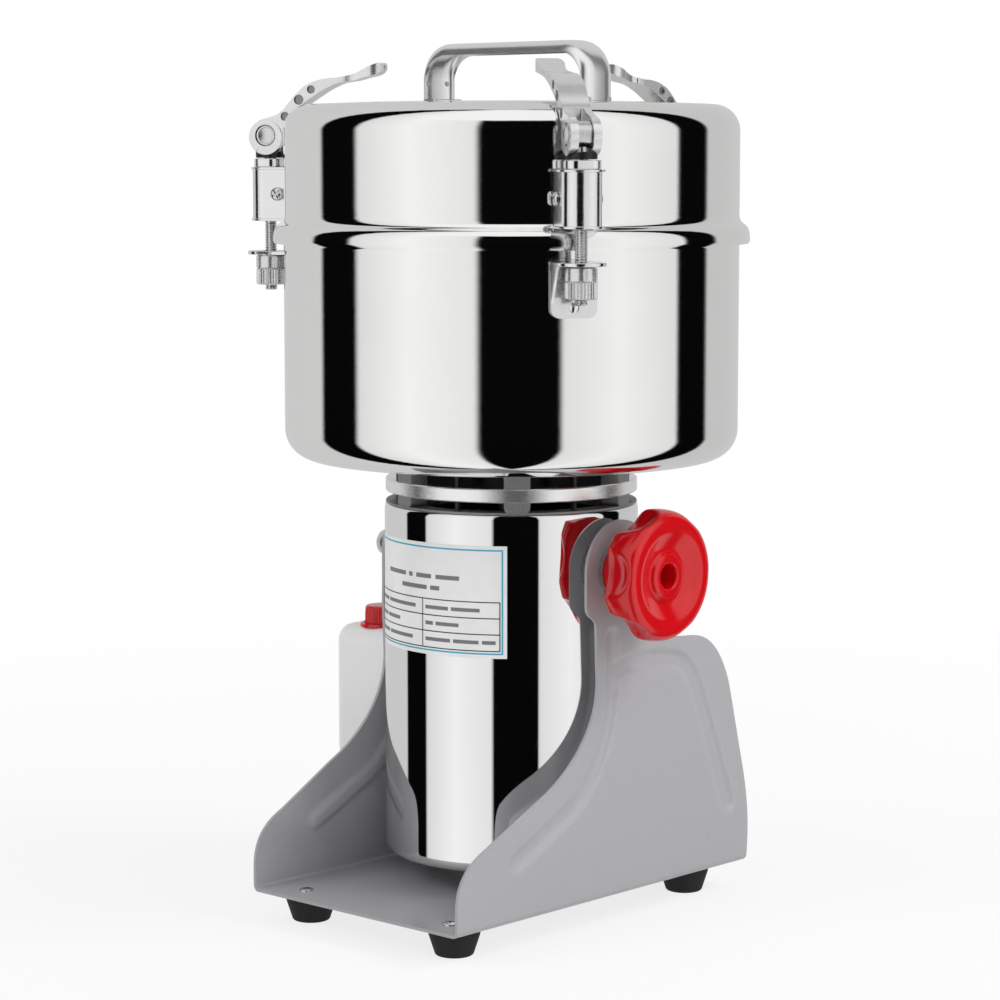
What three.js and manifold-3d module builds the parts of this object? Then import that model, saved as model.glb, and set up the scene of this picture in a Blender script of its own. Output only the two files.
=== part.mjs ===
// Bench-top batch hammer mill: a clamped steel bowl on a motor that swings between two stand walls.
// Millimetres, +Z up. X runs across the stand walls, along the pivot axis, with the locking knob at +X.
// The open front of the stand faces -Y. Everything is drawn about the motor axis, with the table at zero,
// and the whole mill is then moved sideways so that the origin is under the middle of its overall box.
import * as THREE from "three";
import { mergeVertices } from "three/addons/utils/BufferGeometryUtils.js";
import Module from "manifold-3d";

const wasm = await Module();
wasm.setup();

// Where the motor axis stands in the frame, whose origin is under the middle of the overall box
const AXIS_X = 4.85;
const AXIS_Y = -9.237;

// Clearances
const GAP = 0.3; // between pieces that touch on the real mill
const RUN = 0.4; // round pieces that turn or slide
const SHEET = 1.5; // steel sheet of stand, bowl and lid
const ROUND = 48; // facets of bowl and lid
const MEDIUM = 36; // facets of the motor's pieces
const SMALL = 16; // facets of the small pieces

// Motor
const MOTOR_R = 59.6;
const MOTOR_WALL = 1.6;
const MOTOR_BOTTOM = 26.6;
const MOTOR_TOP = 192.8;
const MOTOR_EDGE = 5.5;
const SHAFT_R = 6;
const BEARING_R = 16;
const BEARING_H = 10;
const LOWER_BEARING_Z = 42;
const STATOR_ROOM = 8; // between the stator and the housing, for the cooling air
const STATOR_BORE = 29;
const STATOR_Z = 72;
const STATOR_H = 50;
const YOKE = 10;
const COIL_HALF = 24;
const POLE_HALF = 11;
const COIL_END = 14; // past each end of the stator
const ARMATURE_R = 28;
const ARMATURE_SLOTS = 7;
const WINDING_END = 9;
const COMMUTATOR_R = 15;
const COMMUTATOR_H = 18;
const BRUSH_ROOM = 4; // between the brush holders and the housing
const FAN_Z = 172;
const FAN_H = 12;
const FAN_BLADES = 7;

// Stand
const FOOT_H = 13.5;
const FOOT_TOP_R = 12;
const FOOT_END_R = 9;
const FOOT_INSET = 19.4; // from the wall's outer face to the foot's middle
const FOOT_FRONT_Y = -88;
const FOOT_BACK_Y = 74;
const STAND_FRONT = -106.5;
const STAND_BACK = 98;
const PIVOT_ROOM = 4.3; // between the motor housing and the walls, filled by the spacers
const BEND_R = 3;
const PIVOT_Z = 166.1;
const LOBE_R = 23;
const LOBE_SHIFT = 2.2; // the lobe's middle lies behind the pivot
const NECK_FRONT_RIGHT = -13;
const NECK_FRONT_LEFT = -20;
const SHOULDER_Z = 130;
const BEAD_R = 5;
const BEAD_RISE = 1.4;
const PIVOT_R = 5;
const SPACER_R = 14;

// Electrical box on the left wall
const BOX_OUT = 40;
const BOX_FRONT = -15;
const BOX_BACK = 50;
const BOX_BOTTOM = 56;
const BOX_TOP = 125;
const BOX_EDGE = 6;
const BOX_WALL = 2.5;
const BUTTON_R = 9;
const BUTTON_H = 9.7;
const BUTTON_TRAVEL = 2.5;
const BUTTON_RIBS = 14;
const TIMER_R = 16;
const TIMER_H = 15;
const TIMER_Z = 84;
const TIMER_SHAFT_R = 3.5;
const GLAND_R = 7;
const GLAND_Z = 72;

// Locking knob
const KNOB_R = 30;
const KNOB_H = 30;
const KNOB_BODY = 18; // the lobed part, in front of the slim hub
const KNOB_HUB_R = 13.5;
const KNOB_BOSS_R = 10.5;
const KNOB_HOLE_R = 5.6;
const KNOB_LOBES = 6;
const SCOOP_R = 15;
const SCOOP_DEPTH = 5.4;
const WASHER_H = 2;
const WASHER_R = 13;

// Bowl and lid
const BOWL_R = 106;
const BOWL_BOTTOM = 214;
const BOWL_EDGE = 14;
const FLANGE_W = 3.2;
const FLANGE_TOP = 316.5;
const SKIRT_W = 5;
const SKIRT_DROP = 2.3; // how far the skirt hangs below the flange's top
const FLARE_H = 10.5; // from the flange to where the lid's wall is straight
const LID_H = 62.5; // from the flange to the lid's top
const LID_EDGE = 12.2;
const LID_FLAT_R = 66;
const LID_CROWN = 1; // the flat middle stands this much above the shoulder
const SEAL_H = 3;

// Collar between motor and bowl
const COLLAR_STEP = 0.5; // its radius is this much less than the housing's
const COLLAR_FOOT = 0.9;
const BAND_H = 6.3;
const PLATE_ROOM = 6.2; // between the machined band and the top plate
const PLATE_H = 2.7;
const COLLAR_LUG = 12;
const COLLAR_LUGS = 6;
const LUG_ANGLE = 15;

// Handle
const HANDLE_HALF = 54.2;
const HANDLE_SHIFT = 2.55;
const HANDLE_H = 27.6;
const HANDLE_W = 19.5;
const HANDLE_BEND = 16;
const STRAP_T = 2;
const STRAP_LIP = 6;

// Blades
const BLADE_LIFT = 12; // from the outside of the bowl's floor to the shoulder under the blades
const BEATER_ROOM = 9; // between the beater's ends and the bowl's outer face
const BEATER_T = 4;
const BLADE_T = 2.5;
const BLADE_HUB_R = 15;
const SPACER_H = 9;

// Clamps, each drawn on the +X side and then turned into place
const CLAMP_ANGLES = { front_right: 327, front_left: 207, rear: 87 };
const ROD_OUT = 12.9; // from the bowl to the pull rod
const ROD_R = 2.9;
const ROD_PAST_NUT = 2.5;
const TAB_DROP = 8.9; // from the bowl's flange down to the catch's tab
const TAB_T = 1.7;
const TAB_NOSE = 10.7; // from the rod to the tab's end
const CATCH_HALF = 10.7;
const CATCH_H = 23;
const SLOT_HALF = 3.6;
const NUT_R = 6.6;
const NUT_H = 14;
const NUT_TEETH = 10;
const BARREL_RISE = 8.3; // above the bowl's flange
const BARREL_H = 23;
const BARREL_HALF = 8.9;
const BARREL_NOSE = 8.1; // from the rod to the barrel's front
const PLATE_T = 1.2;
const PLATE_LIP = 1.8;
const BUSH_H = 4;
const THRUST_T = 1.2; // the thrust washer under the cam's lowest line
const THRUST_R = 6.9;
const THRUST_HORN = 2;
const SEAT_R = 12;
const BOSS_R = 8.2;
const CAM_OFFSET = 0.8;
const PIN_R = 4.8;
const LEVER_HALF = 6.4;
const BOSS_HALF = 6.9;
const EAR_SLOT_HALF = 3.3;
const SCREW_OUT = 6; // from the clamp's base plate to its side screws
const SCREW_R = 2;
const SCREW_HEAD_R = 3.2;

// Values worked out from the sizes above
const PLATE_TOP = FOOT_H + SHEET;
const WALL_IN = MOTOR_R + PIVOT_ROOM;
const WALL_OUT = WALL_IN + SHEET;
const FOOT_X = WALL_OUT - FOOT_INSET;
const HOUSING_BORE = MOTOR_R - MOTOR_WALL;
const STATOR_R = HOUSING_BORE - STATOR_ROOM;
const STATOR_TOP = STATOR_Z + STATOR_H;
const COMMUTATOR_Z = STATOR_TOP + WINDING_END + 3;
const COLLAR_R = MOTOR_R - COLLAR_STEP;
const PLATE_BOTTOM = BOWL_BOTTOM - GAP - PLATE_H;
const BAND_TOP = PLATE_BOTTOM - PLATE_ROOM;
const UPPER_BEARING_Z = BOWL_BOTTOM - 15;
const FLOOR_HOLE_R = SHAFT_R + 3.7;
const SHOULDER_TOP = BOWL_BOTTOM + BLADE_LIFT;
const BEATER_R = BOWL_R - BEATER_ROOM;
const BEATER_Z = SHOULDER_TOP + GAP;
const MIDDLE_Z = BEATER_Z + BEATER_T + GAP + SPACER_H + GAP;
const UPPER_Z = MIDDLE_Z + BLADE_T + GAP + SPACER_H + GAP;
const END_NUT_Z = UPPER_Z + BLADE_T + GAP;
const SHAFT_TOP = END_NUT_Z + 8;
const FLANGE_R = BOWL_R + FLANGE_W;
const SKIRT_R = BOWL_R + SKIRT_W;
const SKIRT_BOTTOM = FLANGE_TOP - SKIRT_DROP;
const FLARE_TOP = FLANGE_TOP + FLARE_H;
const LID_TOP = FLANGE_TOP + LID_H;
const HANDLE_TOP = LID_TOP + HANDLE_H;
const CLAMP_BASE_AT = BOWL_R + GAP;
const ROD_AT = BOWL_R + ROD_OUT;
const TAB_BOTTOM = FLANGE_TOP - TAB_DROP;
const CATCH_BOTTOM = TAB_BOTTOM - CATCH_H;
const NUT_TOP = TAB_BOTTOM - GAP;
const ROD_END = NUT_TOP - NUT_H - ROD_PAST_NUT;
const BARREL_BOTTOM = FLANGE_TOP + BARREL_RISE;
const BARREL_TOP = BARREL_BOTTOM + BARREL_H;
const BUSH_TOP = BARREL_TOP + PLATE_T + BUSH_H;
const THRUST_BOTTOM = BUSH_TOP + GAP;
const PIN_Z = THRUST_BOTTOM + THRUST_T + GAP + BOSS_R + CAM_OFFSET;
const SCREW_AT = CLAMP_BASE_AT + SCREW_OUT;
const SCREW_Z = (BARREL_BOTTOM + BARREL_TOP) / 2;

// Solids
function solid(geometry) {
  const bare = geometry.clone();
  bare.deleteAttribute("normal");
  bare.deleteAttribute("uv");
  const merged = mergeVertices(bare, 1e-4);
  const p = merged.attributes.position.array;
  const kept = [];
  let volume = 0;
  for (let i = 0; i < merged.index.count; i += 3) {
    const [a, b, c] = merged.index.array.slice(i, i + 3);
    if (a === b || b === c || a === c) continue;
    kept.push(a, b, c);
    const [A, B, C] = [a, b, c].map((k) => new THREE.Vector3().fromArray(p, 3 * k));
    volume += A.dot(B.cross(C));
  }
  // A turned profile may be drawn either way round: its faces are made to point outwards here.
  const order = volume < 0 ? kept.reverse() : kept;
  return new wasm.Manifold(
    new wasm.Mesh({ numProp: 3, vertProperties: p, triVerts: new Uint32Array(order) }),
  );
}

function shell(manifold) {
  const m = manifold.getMesh();
  const geometry = new THREE.BufferGeometry();
  const points = new Float32Array(m.numVert * 3);
  for (let i = 0; i < m.numVert; i++) {
    points.set(m.vertProperties.subarray(i * m.numProp, i * m.numProp + 3), i * 3);
  }
  geometry.setAttribute("position", new THREE.BufferAttribute(points, 3));
  geometry.setIndex(new THREE.BufferAttribute(m.triVerts, 1));
  return geometry;
}

function join(first, ...rest) {
  return rest.reduce((sum, s) => sum.add(s), first);
}

function cut(first, ...rest) {
  return rest.reduce((left, s) => left.subtract(s), first);
}

// A profile of [radius, height] pairs turned about the Z axis.
function turned(profile, facets = ROUND) {
  const points = profile.map(([r, z]) => new THREE.Vector2(r, z));
  return solid(new THREE.LatheGeometry(points, facets).rotateX(Math.PI / 2));
}

// The same about an axis parallel to X, Y or Z through a point, with height along that axis.
function turnedAbout(axis, [x, y, z], profile, facets = SMALL) {
  const points = profile.map(([r, h]) => new THREE.Vector2(r, h));
  const g = new THREE.LatheGeometry(points, facets);
  if (axis === "x") g.rotateZ(-Math.PI / 2);
  if (axis === "z") g.rotateX(Math.PI / 2);
  return solid(g.translate(x, y, z));
}

function rod(axis, at, radius, low, high, facets = SMALL) {
  return turnedAbout(axis, at, [[0, low], [radius, low], [radius, high], [0, high]], facets);
}

function ring(axis, at, inner, outer, low, high, facets = SMALL) {
  const profile = [[inner, low], [outer, low], [outer, high], [inner, high], [inner, low]];
  return turnedAbout(axis, at, profile, facets);
}

function block(x0, x1, y0, y1, z0, z1) {
  const g = new THREE.BoxGeometry(x1 - x0, y1 - y0, z1 - z0);
  return solid(g.translate((x0 + x1) / 2, (y0 + y1) / 2, (z0 + z1) / 2));
}

// An outline in the YZ plane, extruded along X; in XZ, along Y; in XY, along Z.
const PLANES = {
  yz: [new THREE.Vector3(0, 1, 0), new THREE.Vector3(0, 0, 1), new THREE.Vector3(1, 0, 0)],
  xz: [new THREE.Vector3(1, 0, 0), new THREE.Vector3(0, 0, 1), new THREE.Vector3(0, -1, 0)],
  xy: [new THREE.Vector3(1, 0, 0), new THREE.Vector3(0, 1, 0), new THREE.Vector3(0, 0, 1)],
};

function prism(plane, outline, low, high, curveSegments = 8) {
  const g = new THREE.ExtrudeGeometry(outline, { depth: high - low, bevelEnabled: false, curveSegments });
  const basis = new THREE.Matrix4().makeBasis(...PLANES[plane]);
  g.applyMatrix4(basis);
  const along = { yz: [low, 0, 0], xz: [0, high, 0], xy: [0, 0, low] }[plane];
  return solid(g.translate(...along));
}

// A rectangle with rounded corners, from its low corner to its high one.
function roundedRect(x0, y0, x1, y1, r) {
  const s = new THREE.Shape();
  s.moveTo(x0 + r, y0);
  s.lineTo(x1 - r, y0);
  s.absarc(x1 - r, y0 + r, r, -Math.PI / 2, 0);
  s.lineTo(x1, y1 - r);
  s.absarc(x1 - r, y1 - r, r, 0, Math.PI / 2);
  s.lineTo(x0 + r, y1);
  s.absarc(x0 + r, y1 - r, r, Math.PI / 2, Math.PI);
  s.lineTo(x0, y0 + r);
  s.absarc(x0 + r, y0 + r, r, Math.PI, 1.5 * Math.PI);
  return s;
}

// A round tube with ball ends along a curve.
function roundBar(curve, radius, steps, sides = 12) {
  const section = new THREE.Shape();
  section.absarc(0, 0, radius, 0, 2 * Math.PI);
  const path = { steps, curveSegments: sides, bevelEnabled: false, extrudePath: curve };
  const bar = solid(new THREE.ExtrudeGeometry(section, path));
  const ends = [0, 1].map((t) => {
    const p = curve.getPoint(t);
    return solid(new THREE.SphereGeometry(radius, 8, 4).translate(p.x, p.y, p.z));
  });
  return join(bar, ...ends);
}

function arcPoints(cx, cy, r, from, to, count) {
  return Array.from({ length: count + 1 }, (_, i) => {
    const a = THREE.MathUtils.degToRad(from + ((to - from) * i) / count);
    return [cx + r * Math.cos(a), cy + r * Math.sin(a)];
  });
}

// Scene graph
const mill = new THREE.Group();
const FINISH = {
  grey_paint: [0xa5a5aa, 0.45, 0.1],
  light_paint: [0xe2e2e2, 0.45, 0.05],
  polished_steel: [0xd8d8d8, 0.12, 1],
  brushed_steel: [0xc8c8c8, 0.3, 1],
  cast_aluminium: [0xa8a8a6, 0.6, 0.9],
  black_steel: [0x1c1c1e, 0.5, 0.6],
  red_plastic: [0xd4001a, 0.25, 0],
  black_plastic: [0x18181a, 0.45, 0],
  rubber: [0x101012, 0.8, 0],
  silicone: [0xe8e6e0, 0.6, 0],
  lamination: [0x6a6a6e, 0.55, 0.7],
  copper: [0xb06a3a, 0.4, 0.9],
};

function place(name, finish, manifold, group = mill) {
  const [color, roughness, metalness] = FINISH[finish];
  const material = new THREE.MeshStandardMaterial({ color, roughness, metalness });
  const mesh = new THREE.Mesh(shell(manifold), material);
  mesh.name = name;
  group.add(mesh);
  return mesh;
}

// Stand: one sheet bent to a U, cut to the walls' outline, with pressed beads
function wallOutline(neckFront) {
  const s = new THREE.Shape();
  const low = FOOT_H;
  const front = LOBE_SHIFT - LOBE_R;
  const lobeEnd = THREE.MathUtils.degToRad(-40);
  const y1 = LOBE_SHIFT + LOBE_R * Math.cos(lobeEnd);
  const z1 = PIVOT_Z + LOBE_R * Math.sin(lobeEnd);
  s.moveTo(STAND_FRONT, low);
  s.lineTo(STAND_FRONT, low + 12);
  s.bezierCurveTo(STAND_FRONT, low + 27, STAND_FRONT + 10, low + 33, STAND_FRONT + 18, low + 36.5);
  s.lineTo(neckFront - 37, low + 54.4);
  s.bezierCurveTo(neckFront - 13, low + 66, neckFront, low + 84, neckFront, low + 102);
  // The neck widens with a small S to the lobe's straight front side.
  s.lineTo(neckFront - 1, PIVOT_Z - LOBE_R - 2);
  s.bezierCurveTo(neckFront - 1, PIVOT_Z - LOBE_R + 3, front, PIVOT_Z - LOBE_R + 2, front, PIVOT_Z - LOBE_R + 8);
  s.lineTo(front, PIVOT_Z);
  s.absarc(LOBE_SHIFT, PIVOT_Z, LOBE_R, Math.PI, lobeEnd, true);
  s.bezierCurveTo(y1 - 4.5, z1 - 6.5, y1, SHOULDER_Z + 1.5, y1 + 13, SHOULDER_Z + 1);
  s.lineTo(STAND_BACK - 40, SHOULDER_Z - 1);
  s.bezierCurveTo(STAND_BACK - 26, SHOULDER_Z - 2.5, STAND_BACK - 17.5, 113, STAND_BACK - 14, 101);
  s.lineTo(STAND_BACK - 2.5, 57);
  s.bezierCurveTo(STAND_BACK, 46, STAND_BACK + 1, 38, STAND_BACK + 1, 30);
  s.bezierCurveTo(STAND_BACK + 1, 23, STAND_BACK + 0.5, 18, STAND_BACK, low);
  return s;
}

function bentSheet() {
  const s = new THREE.Shape();
  const top = PIVOT_Z + LOBE_R + 5;
  const [out, inn] = [WALL_OUT, WALL_IN];
  s.moveTo(out, top);
  s.lineTo(out, FOOT_H + BEND_R);
  s.absarc(out - BEND_R, FOOT_H + BEND_R, BEND_R, 0, -Math.PI / 2, true);
  s.lineTo(-out + BEND_R, FOOT_H);
  s.absarc(-out + BEND_R, FOOT_H + BEND_R, BEND_R, -Math.PI / 2, -Math.PI, true);
  s.lineTo(-out, top);
  s.lineTo(-inn, top);
  s.lineTo(-inn, FOOT_H + BEND_R);
  s.absarc(-out + BEND_R, FOOT_H + BEND_R, BEND_R - SHEET, Math.PI, 1.5 * Math.PI);
  s.lineTo(out - BEND_R, PLATE_TOP);
  s.absarc(out - BEND_R, FOOT_H + BEND_R, BEND_R - SHEET, -Math.PI / 2, 0);
  s.lineTo(inn, top);
  return prism("xz", s, STAND_FRONT - 5, STAND_BACK + 5, 4);
}

// The two beads of a wall: one up the front edge and the neck, one along the shoulder and down the back.
function beadCurves(side) {
  const x = side * (WALL_IN - BEAD_RISE + BEAD_R);
  const at = (points) =>
    new THREE.CatmullRomCurve3(points.map(([y, z]) => new THREE.Vector3(x, y, z)), false, "centripetal");
  return [
    at([[-68, 41], [-45, 52], [-24, 64], [-11, 82], [-4.5, 100], [-2.5, 118], [-3, 136]]),
    at([[-2.5, 118], [11, 122], [42, 119.5], [55, 111], [64, 93], [75, 66], [84, 44]]),
  ];
}

function standFrame() {
  const right = prism("yz", wallOutline(NECK_FRONT_RIGHT), 0, WALL_OUT + 1, 5);
  const left = prism("yz", wallOutline(NECK_FRONT_LEFT), -WALL_OUT - 1, 0.5, 5);
  let frame = bentSheet().intersect(right.add(left));
  for (const side of [1, -1]) {
    const slab = side > 0 ? [WALL_IN - 5, WALL_OUT - 0.4] : [-WALL_OUT + 0.4, -WALL_IN + 5];
    const keep = block(...slab, STAND_FRONT, STAND_BACK, PLATE_TOP, PIVOT_Z + LOBE_R);
    for (const curve of beadCurves(side)) {
      frame = frame.add(roundBar(curve, BEAD_R, 8).intersect(keep));
    }
    for (const curve of beadCurves(side)) {
      frame = frame.subtract(roundBar(curve, BEAD_R - SHEET, 8));
    }
  }
  const pivotHoles = rod("x", [0, 0, PIVOT_Z], PIVOT_R + RUN, -WALL_OUT - 5, WALL_OUT + 5);
  const wireHole = rod("x", [-WALL_OUT, 30, 95], 8, -5, 5);
  return cut(frame, pivotHoles, wireHole);
}

function foot(x, y) {
  const top = FOOT_H - GAP;
  const profile = [[0, 0], [FOOT_END_R - 1.5, 0], [FOOT_END_R, 1.5], [FOOT_TOP_R, top - 2], [FOOT_TOP_R, top], [0, top]];
  return turnedAbout("z", [x, y, 0], profile);
}

// Electrical box, its switch cap, timer knob and cable gland
const BOX_IN_X = -WALL_OUT - GAP;
const BOX_OUT_X = -WALL_OUT - BOX_OUT;
const BUTTON_X = -WALL_OUT - BOX_OUT / 2;

function roundedBox(inset) {
  const r = BOX_EDGE + 2 - inset;
  const outline = roundedRect(
    BOX_FRONT + inset + BOX_EDGE / 2, BOX_BOTTOM + inset + BOX_EDGE / 2,
    BOX_BACK - inset - BOX_EDGE / 2, BOX_TOP - inset - BOX_EDGE / 2, r,
  );
  const depth = BOX_OUT + 20;
  const bevel = { bevelThickness: BOX_EDGE, bevelSize: BOX_EDGE / 2, bevelSegments: 2 };
  const g = new THREE.ExtrudeGeometry(outline, { depth, curveSegments: 3, ...bevel });
  g.applyMatrix4(new THREE.Matrix4().makeBasis(...PLANES.yz));
  g.translate(BOX_OUT_X + BOX_EDGE + inset, 0, 0);
  return solid(g);
}

function controlBox() {
  const keep = block(BOX_OUT_X - 5, BOX_IN_X, BOX_FRONT - 5, BOX_BACK + 5, BOX_BOTTOM - 5, BOX_TOP + 5);
  const room = roundedBox(BOX_WALL);
  const button = rod("z", [BUTTON_X, 0, BOX_TOP], BUTTON_R + RUN, -10, 10);
  const timer = rod("x", [BOX_OUT_X, 20, TIMER_Z], TIMER_SHAFT_R + RUN, -10, 10);
  const gland = rod("y", [BUTTON_X, BOX_BACK, GLAND_Z], GLAND_R + GAP, -10, 10);
  return cut(roundedBox(0).intersect(keep), room, button, timer, gland);
}

function powerButton() {
  const s = new THREE.Shape();
  for (let i = 0; i < 2 * BUTTON_RIBS; i++) {
    const a = (Math.PI * i) / BUTTON_RIBS;
    const r = i % 2 ? BUTTON_R : BUTTON_R - 0.5;
    s[i ? "lineTo" : "moveTo"](r * Math.cos(a), r * Math.sin(a));
  }
  const skirt = BUTTON_TRAVEL + 1;
  const ribbed = prism("xy", s, BOX_TOP - skirt, BOX_TOP + BUTTON_H).translate([BUTTON_X, 0, 0]);
  const top = BOX_TOP + BUTTON_H;
  const dome = [[0, BOX_TOP - skirt], [BUTTON_R, BOX_TOP - skirt], [BUTTON_R - 0.6, top - 1.4], [BUTTON_R - 1.8, top - 0.3], [0, top]];
  return ribbed.intersect(turnedAbout("z", [BUTTON_X, 0, 0], dome, 28));
}

function timerKnob() {
  const face = BOX_OUT_X - GAP;
  const skirt = turnedAbout("x", [face, 20, TIMER_Z], [[0, 0], [TIMER_R, 0], [TIMER_R - 0.5, -3], [0, -3]]);
  const grip = turnedAbout("x", [face, 20, TIMER_Z], [[0, 0], [TIMER_R - 4, 0], [TIMER_R - 5.5, -TIMER_H], [0, -TIMER_H]]);
  const bar = block(face - TIMER_H, face, 20 - 3.5, 20 + 3.5, TIMER_Z - TIMER_R + 2, TIMER_Z + TIMER_R - 2);
  const shaft = rod("x", [face, 20, TIMER_Z], TIMER_SHAFT_R, -1, 12);
  return join(skirt, grip, bar, shaft);
}

function cableGland() {
  const nut = prism("xz", hexagon(9.5), BOX_BACK + GAP, BOX_BACK + 5, 1).translate([BUTTON_X, 0, GLAND_Z]);
  const cone = [[0, 4], [8, 4], [7.5, 9], [4.5, 14], [4.5, 16], [0, 16]];
  const body = turnedAbout("y", [BUTTON_X, BOX_BACK, GLAND_Z], cone);
  const stem = rod("y", [BUTTON_X, BOX_BACK, GLAND_Z], GLAND_R, -8, 1);
  const bore = rod("y", [BUTTON_X, BOX_BACK, GLAND_Z], 3.4, -12, 20);
  return cut(join(nut, body, stem), bore);
}

// A hexagon of the given corner radius about the origin.
function hexagon(corner) {
  const s = new THREE.Shape();
  for (let i = 0; i < 6; i++) {
    const a = (Math.PI * i) / 3;
    s[i ? "lineTo" : "moveTo"](corner * Math.cos(a), corner * Math.sin(a));
  }
  return s;
}

// Pivot: bolt at the left, stud, washer and locking knob at the right
const NUT_FACE = WALL_OUT + GAP + WASHER_H;
const STUD_IN_KNOB = 14;

function pivotBolt() {
  const at = [0, 0, PIVOT_Z];
  const shank = rod("x", at, PIVOT_R, -WALL_OUT - 12, -MOTOR_R + 6);
  const washer = rod("x", at, WASHER_R, -NUT_FACE, -WALL_OUT - GAP);
  const head = prism("yz", hexagon(9.8), -NUT_FACE - 8, -NUT_FACE + 0.5, 1).translate([0, 0, PIVOT_Z]);
  const dome = [[0, 0], [7.4, 0], [7.4, -4], [6.2, -8], [3.6, -11], [0, -12]];
  const cap = turnedAbout("x", [-NUT_FACE - 7.5, 0, PIVOT_Z], dome);
  return join(shank, washer, head, cap);
}

// The threaded stud has a saddle flange that fills the space between the round housing and the wall.
function pivotStud() {
  const at = [0, 0, PIVOT_Z];
  const stud = rod("x", at, PIVOT_R, MOTOR_R - 6, NUT_FACE + STUD_IN_KNOB);
  return stud.add(saddle(rod("x", at, SPACER_R, MOTOR_R - 4, WALL_IN - GAP)));
}

function spacerLeft() {
  return saddle(ring("x", [0, 0, PIVOT_Z], PIVOT_R + RUN, SPACER_R, GAP - WALL_IN, 4 - MOTOR_R));
}

function saddle(disc) {
  return disc.subtract(rod("z", [0, 0, 0], MOTOR_R + GAP, MOTOR_BOTTOM, MOTOR_TOP, MEDIUM));
}

function knobWasher() {
  return ring("x", [0, 0, PIVOT_Z], PIVOT_R + RUN, WASHER_R, WALL_OUT + GAP, NUT_FACE);
}

// The knob has a slim hub, a lobed body and a face that is dished round a boss with a blind hole.
function lockingKnob() {
  const back = NUT_FACE + GAP;
  const at = [back, 0, PIVOT_Z];
  const [r, h, body] = [KNOB_R, KNOB_H, KNOB_H - KNOB_BODY];
  const profile = [
    [0, 0], [KNOB_HUB_R, 0], [KNOB_HUB_R, body], [r - 3.5, body], [r - 0.8, body + 2.5], [r, body + 6],
    [r - 0.4, h - 6], [r - 1.4, h - 2.4], [r - 3, h - 0.5], [r - 5, h], [r - 9.5, h - 0.3],
    [KNOB_BOSS_R + 2.5, h - 3.5], [KNOB_BOSS_R, h - 1.5], [KNOB_HOLE_R, h - 1.5], [KNOB_HOLE_R, h - 11], [0, h - 11],
  ];
  let knob = turnedAbout("x", at, profile, 30);
  // Each finger scoop is deepest at the wall side and ends round before the face.
  const length = 1.2 * h;
  for (let i = 0; i < KNOB_LOBES; i++) {
    const scoop = new THREE.CapsuleGeometry(SCOOP_R, length, 3, 16).rotateZ(-Math.PI / 2);
    scoop.translate(-length / 2, 0, 0).rotateY(-0.2).translate(back + h / 2, 0, r + SCOOP_R - SCOOP_DEPTH);
    const turn = new THREE.Matrix4().makeRotationX((2 * Math.PI * (i + 0.4)) / KNOB_LOBES);
    knob = knob.subtract(solid(scoop.applyMatrix4(turn).translate(0, 0, PIVOT_Z)));
  }
  return knob.subtract(rod("x", at, PIVOT_R + RUN, -1, STUD_IN_KNOB + 1));
}

// Motor housing: a drawn cup with vent holes in its floor
function motorHousing() {
  const [r, z, e, t] = [MOTOR_R, MOTOR_BOTTOM, MOTOR_EDGE, MOTOR_WALL];
  const outer = arcPoints(r - e, z + e, e, -90, 0, 3);
  const inner = arcPoints(r - e, z + e, e - t, 0, -90, 1);
  const profile = [[0, z], ...outer, [r, MOTOR_TOP], [r - t, MOTOR_TOP], ...inner, [0, z + t]];
  const vents = Array.from({ length: 8 }, (_, i) => {
    const a = (2 * Math.PI * i) / 8;
    return rod("z", [36 * Math.cos(a), 36 * Math.sin(a), z], 5, -2, t + 2, 8);
  });
  const pivots = rod("x", [0, 0, PIVOT_Z], PIVOT_R + GAP, -MOTOR_R - 5, MOTOR_R + 5);
  return cut(turned(profile, MEDIUM), pivots, ...vents);
}

function lowerBracket() {
  const z = LOWER_BEARING_Z;
  const [bore, reach] = [BEARING_R + GAP, HOUSING_BORE - GAP];
  const cup = rod("z", [0, 0, 0], BEARING_R + 6, z - 3, z + BEARING_H, 20);
  const arms = [0, 90].map((a) => block(-reach, reach, -6, 6, z - 3, z + 4).rotate([0, 0, a]));
  const keep = rod("z", [0, 0, 0], reach, z - 5, z + 20, MEDIUM);
  const room = rod("z", [0, 0, 0], bore, z - GAP, z + 20, 20);
  const hole = rod("z", [0, 0, 0], SHAFT_R + 2, z - 10, z + 1);
  return cut(join(cup, ...arms).intersect(keep), room, hole);
}

function bearing(z) {
  return ring("z", [0, 0, z], SHAFT_R + GAP, BEARING_R, 0, BEARING_H, 20);
}

function statorCore() {
  const s = new THREE.Shape();
  s.absarc(0, 0, STATOR_R, 0, 2 * Math.PI);
  const outer = prism("xy", s, STATOR_Z, STATOR_TOP, 12);
  const bore = rod("z", [0, 0, 0], STATOR_BORE, STATOR_Z - 1, STATOR_TOP + 1, 24);
  const [near, far] = [STATOR_BORE - 10, STATOR_R - YOKE];
  const windows = [1, -1].map((d) =>
    block(-COIL_HALF - 1, COIL_HALF + 1, ...(d > 0 ? [near, far] : [-far, -near]), STATOR_Z - 1, STATOR_TOP + 1));
  const poles = [1, -1].map((d) =>
    block(-POLE_HALF, POLE_HALF, ...(d > 0 ? [near + 10, far + 1] : [-far - 1, -near - 10]), STATOR_Z, STATOR_TOP));
  return cut(join(cut(outer, ...windows), ...poles), bore);
}

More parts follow.
